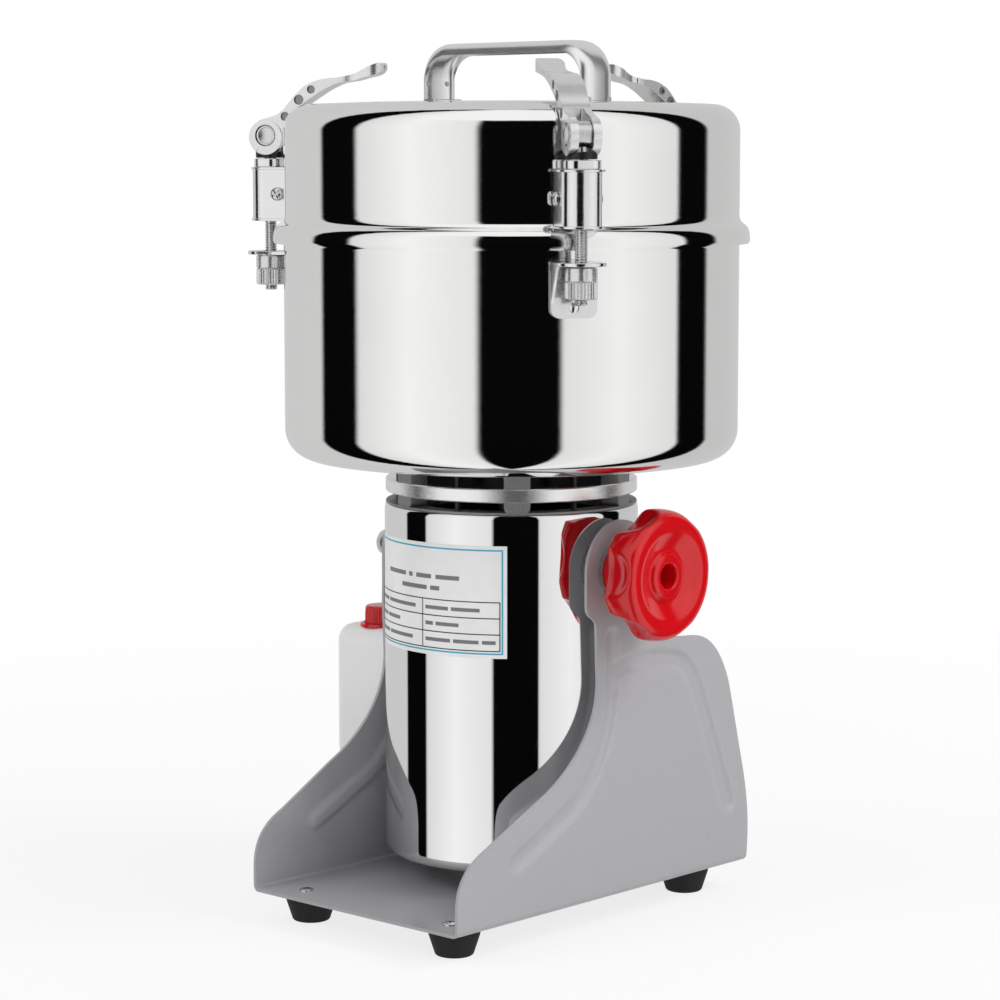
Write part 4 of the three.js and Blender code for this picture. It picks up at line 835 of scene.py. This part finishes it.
# Pivot and locking knob
def knob():
    """Slim hub, six finger scoops that run deepest at the wall side, and a dished face round a blind hole."""
    back, front = (corner.x for corner in span("locking_knob"))
    r, h = 30.0, front - back
    scoop_r, bite, lean, valley, end, blend = 15.0, 5.4, 0.2, 24.0, h / 2 + 2.5, 1.4

    def radius(q, z, a):
        """The lesser of the turned radius and the scoop's surface, blended where they meet."""
        if q < 15 or z < h - 18.5:
            return q
        turn = math.radians((math.degrees(a) - valley + 30) % 60 - 30)
        away = r + scoop_r - bite + (min(z, end) - end) * math.tan(lean)
        reach = scoop_r**2 - max(0.0, z - end) ** 2 - (away * math.sin(turn)) ** 2
        if reach <= 0:
            return q
        cut = away * math.cos(turn) - math.sqrt(reach)
        low_r = min(q, cut)
        return low_r - blend * math.log(math.exp((low_r - q) / blend) + math.exp((low_r - cut) / blend))

    # Radius and depth below the front.
    side = [(25.2, 18), (27.6, 17.3), (29.2, 15.2), (29.9, 12), (r, 9), (29.8, 6), (29.2, 3.4), (28.2, 1.5)]
    side = smooth_line([(q, h - down) for q, down in [*side, (26.8, 0.4), (25, 0)]], 4)
    face = [(22.4, 0), (20.6, 0.2), (19.4, 0.8), (17, 2), (13.4, 3.3), (11.8, 3.5), (11, 3.1), (10.4, 2.1)]
    face += [(9.8, 1.6), (6.6, 1.5), (6, 1.8), (5.6, 2.6), (5.4, 11), (0, 11)]
    hub = [(0, 0), (12.8, 0), (13.5, 0.7), (13.5, h - 19.2), (14.2, h - 18.3), (16, h - 18), (21, h - 18)]
    mesh = lathe([*hub, *side, *((q, h - down) for q, down in face)], 240, radius)
    mesh = combine(mesh, rod("z", (0, 0, 0), PIVOT_R + 0.4, -1, 15))
    about(mesh, "x", (back, 0, PIVOT_Z))
    put("knob_star", mesh, "red", "locking_knob", ["locking_knob"], sharp=50)


def pivot_bolt():
    """Shank, washer, hexagon nut with chamfered corners, and its domed cap."""
    at = (0, 0, PIVOT_Z)
    face = WALL_OUT + GAP
    thick, high = 2, 8
    shank = rod("x", at, PIVOT_R, -face - 12, 6 - MOTOR_R)
    washer = about(disc(5.1, 13, 0, thick, 0.4, 64), "x", (-face - thick, 0, PIVOT_Z))
    hexagon = arc(0, 0, 9.8, 0, 360, 6)[:6]
    cone = lathe([(0, 0), (8.6, 0), (10, 0.8), (10, high - 0.8), (8.6, high), (0, high)], 64)
    nut = combine(prism("xy", hexagon, 0, high), cone, how="INTERSECT")
    about(nut, "x", (-face - thick - high, 0, PIVOT_Z))
    dome = lathe([(0, -11.7), (3.6, -10.9), (6, -8.4), (7.2, -4.6), (7.4, 0), (0, 0)], 64)
    cap = about(dome, "x", (-face - 9.7, 0, PIVOT_Z))
    put("pivot_acorn_nut", together(shank, washer, nut, cap), "fastener", "head", ["pivot_bolt"])


# Clamps: lever points are [inward from the rod, above the pin]
LEVER_TOP = [
    (-3.3, 7.2), (4.7, 9.4), (8.7, 12), (12.3, 16.1), (15.1, 19.1), (19.1, 22.8), (24.7, 25.4), (30.2, 26.6),
    (35.7, 27), (40.5, 27.9), (45.2, 29.3), (50.7, 31.9), (56.2, 33.8), (58.4, 32.2),
]
LEVER_UNDER = [
    (58.0, 30.9), (54.6, 28.5), (48.3, 26.9), (43.6, 25.6), (36.5, 24.6), (29.4, 21.6), (24.6, 18.7),
    (19.9, 15.7), (15.2, 11.6), (11.8, 6.5), (7.9, 1),
]
# Dimples as [inward, above the pin, radius]; outline from above as [inward, less than half the width].
LEVER_HOLES = [(9.8, 8.9, 2.2), (16.7, 16.7, 2.4), (22.8, 21.5, 2)]
LEVER_PLAN = [
    (34, 0), (39, 0.7), (43, 1.2), (47, 0.6), (50, 0), (52.5, 0.1), (54.5, 0.7), (56.3, 2), (57.6, 3.7),
    (58.3, 5.4),
]
LEVER_HALF = 6.4
BUMP_AT, BUMP_UP, BUMP_STEP, BUMP_LEAN = 50.3, 31.55, 2.1, -0.42


def lever(name, where, angle):
    """A cast arm with a slotted cam end, dimpled sides and a row of small bumps on the paddle."""
    half = LEVER_HALF
    line = [(-3.3, 2), *smooth_line(LEVER_TOP, 4), *smooth_line(LEVER_UNDER, 4)]
    side = prism("xz", [(ROD_AT - a, PIN_Z + b) for a, b in line], -half, half)
    edge = [(ROD_AT - a, half + 0.02 - less) for a, less in smooth_line([(-20, 0), *LEVER_PLAN], 5)]
    plan = prism("xy", [(x, -y) for x, y in edge] + edge[::-1], PIN_Z - 20, PIN_Z + 60)
    arm = combine(side, plan, how="INTERSECT")
    arm = combine(arm, rod("y", (ROD_AT, 0, PIN_Z - 0.8), 8.2, -6.9, 6.9, 72), how="UNION")
    slot = [(ROD_AT - 9.5, -3.3), (ROD_AT + 20, -3.3), (ROD_AT + 20, 3.3), (ROD_AT - 9.5, 3.3)]
    slot = prism("xy", rounded(slot, [1.2, 0, 0, 1.2]), PIN_Z - 20, PIN_Z + 11)
    eye = rod("y", (ROD_AT, 0, PIN_Z), 5.1, -20, 20)
    holes = []
    for inward, up, r in LEVER_HOLES:
        for low_y, high_y in ((half - 1.2, 20), (-20, 1.2 - half)):
            holes.append(rod("y", (ROD_AT - inward, 0, PIN_Z + up), r, low_y, high_y, 32))
    arm = soften(combine(arm, slot, eye, together(*holes)), 0.45, 3, 40)
    bumps = []
    for k in range(-2, 3):
        bump = lathe([(0, -1.2), (0.75, -1.2), (0.72, 0.1), (0.5, 0.35), (0, 0.5)], 14)
        bump.transform(Matrix.Rotation(BUMP_LEAN, 4, "Y"))
        bumps.append(about(bump, "z", (ROD_AT - BUMP_AT, k * BUMP_STEP, PIN_Z + BUMP_UP)))
    put(name("lever_arm"), together(arm, *bumps), "lever_steel", f"lever_{where}", [name("lever")], angle)
    # Dark discs at the dimples' floors are painted shade in the recesses, not a different metal.
    floors = []
    for inward, up, r in LEVER_HOLES:
        for low_y in (half - 1.3, 1.1 - half):
            floors.append(rod("y", (ROD_AT - inward, 0, PIN_Z + up), r - 0.05, low_y, low_y + 0.2, 32))
    put(name("lever_recess"), together(*floors), "dark_steel", f"lever_{where}", turn=angle)


def pull_rod(name, where, angle):
    """A stud with a V thread at both ends of the nut's path, its eye and the cross pin."""
    threads = [(ROD_END + 0.6, NUT_LOW + GAP), (NUT_TOP - GAP, BARREL_LOW - 1.4)]

    def threaded(r, z, a):
        if r < ROD_R - 0.1 or not any(z0 < z < z1 for z0, z1 in threads):
            return r
        return r - 0.5 * (1 - abs(2 * ((z / PITCH - a / (2 * math.pi)) % 1) - 1))

    profile = [(0, ROD_END), (ROD_R - 0.6, ROD_END), (ROD_R, ROD_END + 0.5)]
    for z0, z1 in threads:
        count = round((z1 - z0) / (PITCH / 6))
        profile += [(ROD_R, z0 + (z1 - z0) * i / count) for i in range(count + 1)]
    stem = about(lathe([*profile, (ROD_R, PIN_Z), (0, PIN_Z)], 32, threaded), "z", (ROD_AT, 0, 0))
    at = (ROD_AT, 0, PIN_Z)
    eye = rod("y", at, EYE_R, -3, 3, 48)
    pin = lathe([(0, -6.5), (4.4, -6.5), (4.8, -6.1), (4.8, 6.1), (4.4, 6.5), (0, 6.5)], 48)
    dish = [(0, 5.7), (2, 5.8), (3.6, 6.2), (3.9, 6.7), (0, 6.7)]
    dishes = [about(lathe(dish, 48), "y", at), about(lathe([(r, -z) for r, z in dish], 48), "y", at)]
    whole = together(stem, eye, combine(about(pin, "y", at), *dishes))
    put(name("pull_rod"), whole, "fastener", f"rod_{where}", [name("rod")], angle)


def nut(name, where, angle):
    """Knurled below and almost smooth above, where shallow flutes run round it."""
    low, top, waist, r, knurls, flutes = NUT_LOW, NUT_TOP, NUT_LOW + 7.7, 7.1, 36, 9

    def surface(q, z, a):
        if q < 5.6:
            return q
        if low + 0.5 < z < waist - 0.4:
            return q - 0.4 * (0.5 + 0.5 * math.cos(knurls * a))
        if waist + 0.5 < z < top - 0.6:
            return q - 0.16 * (0.5 + 0.5 * math.cos(flutes * a)) ** 2
        return q

    bore = ROD_R + GAP
    profile = [(bore, low), (r - 0.8, low), (r, low + 0.6), (r, waist - 0.45), (r - 0.6, waist)]
    profile += [(r, waist + 0.45), (r, waist + 1.2), (r, top - 1.6), (r - 0.15, top - 0.5), (r - 0.8, top)]
    mesh = lathe([*profile, (bore, top), (bore, low)], 252, surface)
    mesh = about(mesh, "z", (ROD_AT, 0, 0))
    put(name("nut_knurled"), mesh, "dull_steel", f"nut_{where}", [name("nut")], angle)


def thrust_washer(name, angle):
    """A black ring with a saddle on top, on which the lever's cam turns."""
    low, r, seat = WASHER_LOW, 6.9, 12.0
    ring = about(disc(ROD_R + 0.4, r, low, HORN_TOP, 0.3, 64), "z", (ROD_AT, 0, 0))
    saddle = rod("y", (ROD_AT, 0, low + 1.2 + seat), seat, -r - 1, r + 1, 96)
    mesh = soften(combine(ring, saddle), 0.15, 2, 40)
    put(name("thrust_washer"), mesh, "black_steel", "lid", [name("washer")], angle)


def nosed(half, back, front, r):
    """A channel's plan: square at the back and rounded at the front."""
    nose = [*arc(front - r, r - half, r, -90, 0, 12), *arc(front - r, half - r, r, 0, 90, 12)]
    return [(back, -half), *nose, (back, half)]


def barrel(name, angle):
    """A bent channel with a plate at each end and a bush on top, bored for the rod."""
    back, front, half, low, top = BASE_AT + 0.6, 127.0, BARREL_HALF, BARREL_LOW, BARREL_HIGH
    wall = prism("xy", nosed(half, back, front, half - 1), low, top)
    room = prism("xy", nosed(half - SHEET, back - 5, front - SHEET, half - SHEET - 1), low - 1, top + 1)
    screws = rod("y", (SCREW_AT, 0, SCREW_Z), 2.3, -20, 20)
    parts = [combine(wall, room, screws)]

    def bored(mesh):
        return combine(mesh, rod("z", (ROD_AT, 0, 0), ROD_R + 0.4, low - 5, top + 10, 40))

    for z in (low - PLATE, top):
        plate = prism("xy", nosed(half + 1.8, back + 1, front + 0.5, half + 0.8), z, z + PLATE)
        parts.append(soften(bored(plate), 0.35, 3))
    corners = [(ROD_AT - 6.6, -8.2), (ROD_AT + 6.6, -8.2), (ROD_AT + 6.6, 8.2), (ROD_AT - 6.6, 8.2)]
    bush = prism("xy", rounded(corners, 5, 8), top + PLATE, top + PLATE + BUSH)
    parts.append(bored(soften(bush, 0.5, 3)))
    put(name("barrel_shell"), together(*parts), "pressed_steel", "lid", [name("barrel")], angle)


def base(name, angle):
    """A channel on the lid, whose two ears hold the barrel by a cross-recessed screw each."""
    half, low, top = BARREL_HALF - SHEET - GAP, BARREL_LOW + 3, BARREL_HIGH - 3
    corners = [(-half, low), (half, low), (half, top), (-half, top)]
    parts = [soften(prism("yz", rounded(corners, 1.5), BASE_AT, BASE_AT + SHEET), 0.3)]
    tip, rise = SCREW_AT + 3.5, 8
    ear = [(BASE_AT, SCREW_Z - rise), (tip, SCREW_Z - rise), (tip, SCREW_Z + rise), (BASE_AT, SCREW_Z + rise)]
    for side in (-1, 1):
        a, b = (half - SHEET, half) if side > 0 else (-half, SHEET - half)
        parts.append(prism("xz", rounded(ear, [0, 2.5, 2.5, 0]), a, b))
        out = BARREL_HALF + GAP
        profile = [(0, half - 1), (2, half - 1), (2, out), (3.2, out), (3.2, out + 0.6), (2.9, out + 1.3)]
        screw = lathe([*profile, (2.1, out + 1.8), (0, out + 2)], 32)
        screw = about(combine(screw, cross(2.1, 0.45, out + 0.8, out + 4, 0.5)), "y")
        if side < 0:
            screw.transform(Matrix.Rotation(math.pi, 4, "Z"))
        parts.append(about(screw, "z", (SCREW_AT, 0, SCREW_Z)))
    put(name("base_channel"), together(*parts), "fastener", "lid", [name("base")], angle)


def catch(name, angle):
    """A plate on the bowl with a rounded hooked tab, stiffened by a web on one side."""
    at, half, low, slit, nose = BASE_AT, 10.7, CATCH_LOW, 3.6, ROD_AT + 10.7
    corners = [(-half, low), (half, low), (half, TAB_TOP), (-half, TAB_TOP)]
    plate = prism("yz", rounded(corners, 4, 8), at, at + SHEET)
    tab = prism("xy", nosed(half, at, nose, half - 1), TAB_LOW, TAB_TOP)
    near, far, end = ROD_AT - slit, ROD_AT + slit, half + 8
    slot = [(near, -slit), (far, -slit), (far, end), (near, end)]
    tab = combine(tab, prism("xy", rounded(slot, [3.5, 3.5, 0, 0], 8), TAB_LOW - 1, TAB_TOP + 1))
    foot, tip = (at, low + 4), (ROD_AT - 2, TAB_LOW - 2)
    web = [foot, *bezier(foot, (at + 3, low + 9), (at + 6, TAB_LOW - 8), tip, 10)]
    web = prism("xz", [*web, (ROD_AT, TAB_LOW + 0.6), (at, TAB_LOW + 0.6)], -half + 0.05, SHEET - half)
    rivet = lathe([(0, 0), (2.3, 0), (2.2, 0.5), (1.4, 1.1), (0, 1.3)], 32)
    rivet = about(rivet, "x", (at + SHEET - 0.05, 0, low + 4.6))
    whole = together(soften(plate, 0.3), soften(tab, 0.4, 3, 40), soften(web, 0.25), rivet)
    put(name("catch_plate"), whole, "pressed_steel", "head", [name("catch")], angle)


def clamp(where, angle):
    def name(part):
        return f"clamp_{part}_{where}"

    lever(name, where, angle)
    pull_rod(name, where, angle)
    nut(name, where, angle)
    thrust_washer(name, angle)
    barrel(name, angle)
    base(name, angle)
    catch(name, angle)


# Label
def curved(a0, a1, z0, z1, r, thick=0.08):
    """A thin curved rectangle on the motor, angles counted from -Y towards +X."""
    steps = max(2, int(abs(a1 - a0) / 1.2))
    section = [(r, z0), (r, z1), (r + thick, z1), (r + thick, z0)]
    turns = arc(0, 0, 1, a0, a1, steps)
    return loft([[(q * sin, -q * cos, z) for q, z in section] for cos, sin in turns])


def on_label(name, mesh, material):
    put(name, mesh, material, "head", sharp=30, weighted=False)


# The label's reach in degrees and heights, and the heights of the table's rules.
LABEL_LEFT, LABEL_RIGHT, LABEL_LOW, LABEL_HIGH = -52.0, 40.6, 127.5, 179.0
LABEL_ROWS = [153.2, 145.8, 138.4, 130.8]
COLUMN = -0.7
# Grey bars stand for the lines of print: height on the motor, bar height, and where each bar starts and ends.
LABEL_PRINT = [
    (163.6, 2.0, [(-28, -12), (-9.5, -7), (-4.5, 4.5), (7, 19)]),
    (158.4, 2.0, [(-15, 2), (4, 9)]),
    (149.4, 1.7, [(-46, -30), (-28.5, -5), (1.2, 13.5), (15, 28.5)]),
    (142.1, 1.7, [(-46, -32), (-30.5, -17), (1.2, 5.5), (7, 18.7)]),
    (134.7, 1.7, [(-46, -29), (-27.5, -7), (1.2, 14.5), (16, 28), (29.5, 35.6)]),
]


def label():
    """A printed sticker whose rules and table are drawn and whose words are left out."""
    r, ink = MOTOR_R + 0.02, MOTOR_R + 0.08
    sheet = curved(LABEL_LEFT, LABEL_RIGHT, LABEL_LOW, LABEL_HIGH, r, 0.1)
    on_label("label_sheet", sheet, "label_paper")
    gap, width = 1.7, 0.7
    a, b, c, d = LABEL_LEFT + gap, LABEL_RIGHT - gap, LABEL_LOW + gap, LABEL_HIGH - gap
    blue = [(a, b, d - width, d), (a, b, c, c + width), (a, a + width, c, d), (b - width, b, c, d)]
    for i, reach in enumerate(blue):
        on_label(f"label_rule_{i}", curved(*reach, ink), "ink_blue")
    width = 0.5
    a, b = LABEL_LEFT + 3.3, LABEL_RIGHT - 2.9
    c, d = LABEL_ROWS[-1] - width / 2, LABEL_ROWS[0] + width / 2
    black = [(a, b, z - width / 2, z + width / 2) for z in LABEL_ROWS]
    black += [(x, x + width, c, d) for x in (COLUMN, a, b - width)]
    for i, reach in enumerate(black):
        on_label(f"label_line_{i}", curved(*reach, ink), "ink_black")
    bars = []
    for z, high, words in LABEL_PRINT:
        bars += [curved(a0, a1, z - high / 2, z + high / 2, ink) for a0, a1 in words]
    on_label("label_bars", together(*bars), "ink_grey")


bowl()
lid()
motor_housing()
collar()
handle()
stand()
feet()
control_box()
knob()
pivot_bolt()
for where, angle in CLAMPS.items():
    clamp(where, angle)
label()


# Studio, in metres
CAMERA_AT = Vector((0.9596, -1.0507, 0.3594))
CAMERA_TILT, CAMERA_TURN = math.radians(83.339), math.radians(42.62)
LENS = 109.48
WHITE = (1, 1, 1, 1)
# What polished steel mirrors, by degrees to the right of the camera: white sheets and three black flags.
BLACK = 0.002
RING = [
    (-180, 0.62), (-110, 0.66), (-108.5, BLACK), (-84, BLACK), (-82.5, 0.78), (-52, 1.0), (-17.5, 0.86),
    (-16, BLACK), (24, BLACK), (25.5, 0.82), (55, 0.98), (90, 0.8), (91.5, BLACK), (113.5, BLACK), (115, 0.6),
    (180, 0.62),
]
# The flag beside the camera is only so tall: above this sine of elevation the sheets run on.
FRONT_FLAG, FRONT_REACH = 4, 25
FLAG_TOP = 0.6, 0.64


def camera():
    ob = add_object("camera", bpy.data.cameras.new("camera"))
    bpy.context.scene.camera = ob
    ob.data.sensor_width = 36
    ob.data.lens = LENS
    ob.data.clip_end = 50
    ob.location = CAMERA_AT + AXIS * MM
    ob.rotation_euler = (CAMERA_TILT, 0, CAMERA_TURN)


def floor():
    """A pale floor that keeps the shadow and runs into the white background with distance."""
    mesh = bpy.data.meshes.new("floor")
    s = 12.0
    mesh.from_pydata([(-s, -s, 0), (s, -s, 0), (s, s, 0), (-s, s, 0)], [], [(0, 1, 2, 3)])
    ob = add_object("floor", mesh)
    ob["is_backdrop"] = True
    ob.visible_glossy = False
    material = bpy.data.materials.new("floor")
    material.use_nodes = True
    material.node_tree.nodes.clear()
    add = node_maker(material.node_tree)
    path = add("LightPath").outputs
    seen = add("Math", {0: path["Is Camera Ray"], 1: path["Is Glossy Ray"]}, operation="MAXIMUM")
    away = add("VectorMath", {0: add("TexCoord").outputs["Object"]}, operation="LENGTH")
    fade = {"Value": away.outputs["Value"], "From Min": 0.2, "From Max": 0.9, "To Min": 0.8}
    fade = add("MapRange", fade).outputs["Result"]
    share = add("Math", {0: seen.outputs[0], 1: fade}, operation="MULTIPLY")
    diffuse = add("BsdfDiffuse", {"Color": (0.86, 0.86, 0.86, 1)})
    glow = add("Emission", {"Color": WHITE})
    mix = add("MixShader", {"Fac": share.outputs[0], 1: diffuse.outputs[0], 2: glow.outputs[0]})
    add("OutputMaterial", {"Surface": mix.outputs[0]})
    mesh.materials.append(material)


def world():
    """A plain grey light on the object, the ring for reflections, and white behind it all."""
    data = bpy.data.worlds.new("studio")
    bpy.context.scene.world = data
    data.use_nodes = True
    data.node_tree.nodes.clear()
    add = node_maker(data.node_tree)
    coords = add("TexCoord").outputs["Generated"]

    def along(direction):
        return add("VectorMath", {0: coords, 1: direction}, operation="DOT_PRODUCT").outputs["Value"]

    turn = math.atan2(CAMERA_AT.y, CAMERA_AT.x)
    right = (-math.sin(turn), math.cos(turn), 0)
    toward = (math.cos(turn), math.sin(turn), 0)
    degrees = add("Math", {0: along(right), 1: along(toward)}, operation="ARCTAN2")
    fac = {"Value": degrees.outputs[0], "From Min": -math.pi, "From Max": math.pi}
    fac = add("MapRange", fac).outputs["Result"]
    stops = [(0.5 + deg / 360, grey(v)) for deg, v in RING]
    above = [stop for stop, (deg, v) in zip(stops, RING) if abs(deg - FRONT_FLAG) > FRONT_REACH]
    tall = {"Value": along((0, 0, 1)), "From Min": FLAG_TOP[0], "From Max": FLAG_TOP[1]}
    tall = add("MapRange", tall).outputs["Result"]
    over = {"Factor": tall, "A": ramp(add, fac, stops), "B": ramp(add, fac, above)}
    over = add("Mix", over, data_type="RGBA")
    flags = add("Background", {"Color": over.outputs["Result"]})
    plain = add("Background", {"Color": WHITE, "Strength": 0.6})
    white = add("Background", {"Color": WHITE})
    path = add("LightPath").outputs
    near = add("MixShader", {"Fac": path["Is Glossy Ray"], 1: plain.outputs[0], 2: flags.outputs[0]})
    whole = add("MixShader", {"Fac": path["Is Camera Ray"], 1: near.outputs[0], 2: white.outputs[0]})
    add("OutputWorld", {"Surface": whole.outputs[0]})


def lamp(name, at, size, power):
    light = bpy.data.lights.new(name, "AREA")
    light.shape = "DISK"
    light.size = size
    light.energy = power
    ob = add_object(name, light)
    ob.location = at
    ob.rotation_euler = (Vector((0, 0, 0.2)) - Vector(at)).to_track_quat("-Z", "Y").to_euler()
    ob.visible_glossy = False


camera()
floor()
world()
lamp("key", (-0.9, -1.9, 1.7), 1.2, 13)
lamp("rake", (1.3, 0.7, 1.7), 0.7, 14)
lamp("fill", (1.9, 0.4, 1.0), 1.2, 9)
bpy.context.scene.view_settings.view_transform = "Standard"

boxes = {"cad": cad_box, "visual": [list(c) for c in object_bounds()]}
{name: [[float(v) for v in c] for c in box] for name, box in boxes.items()}
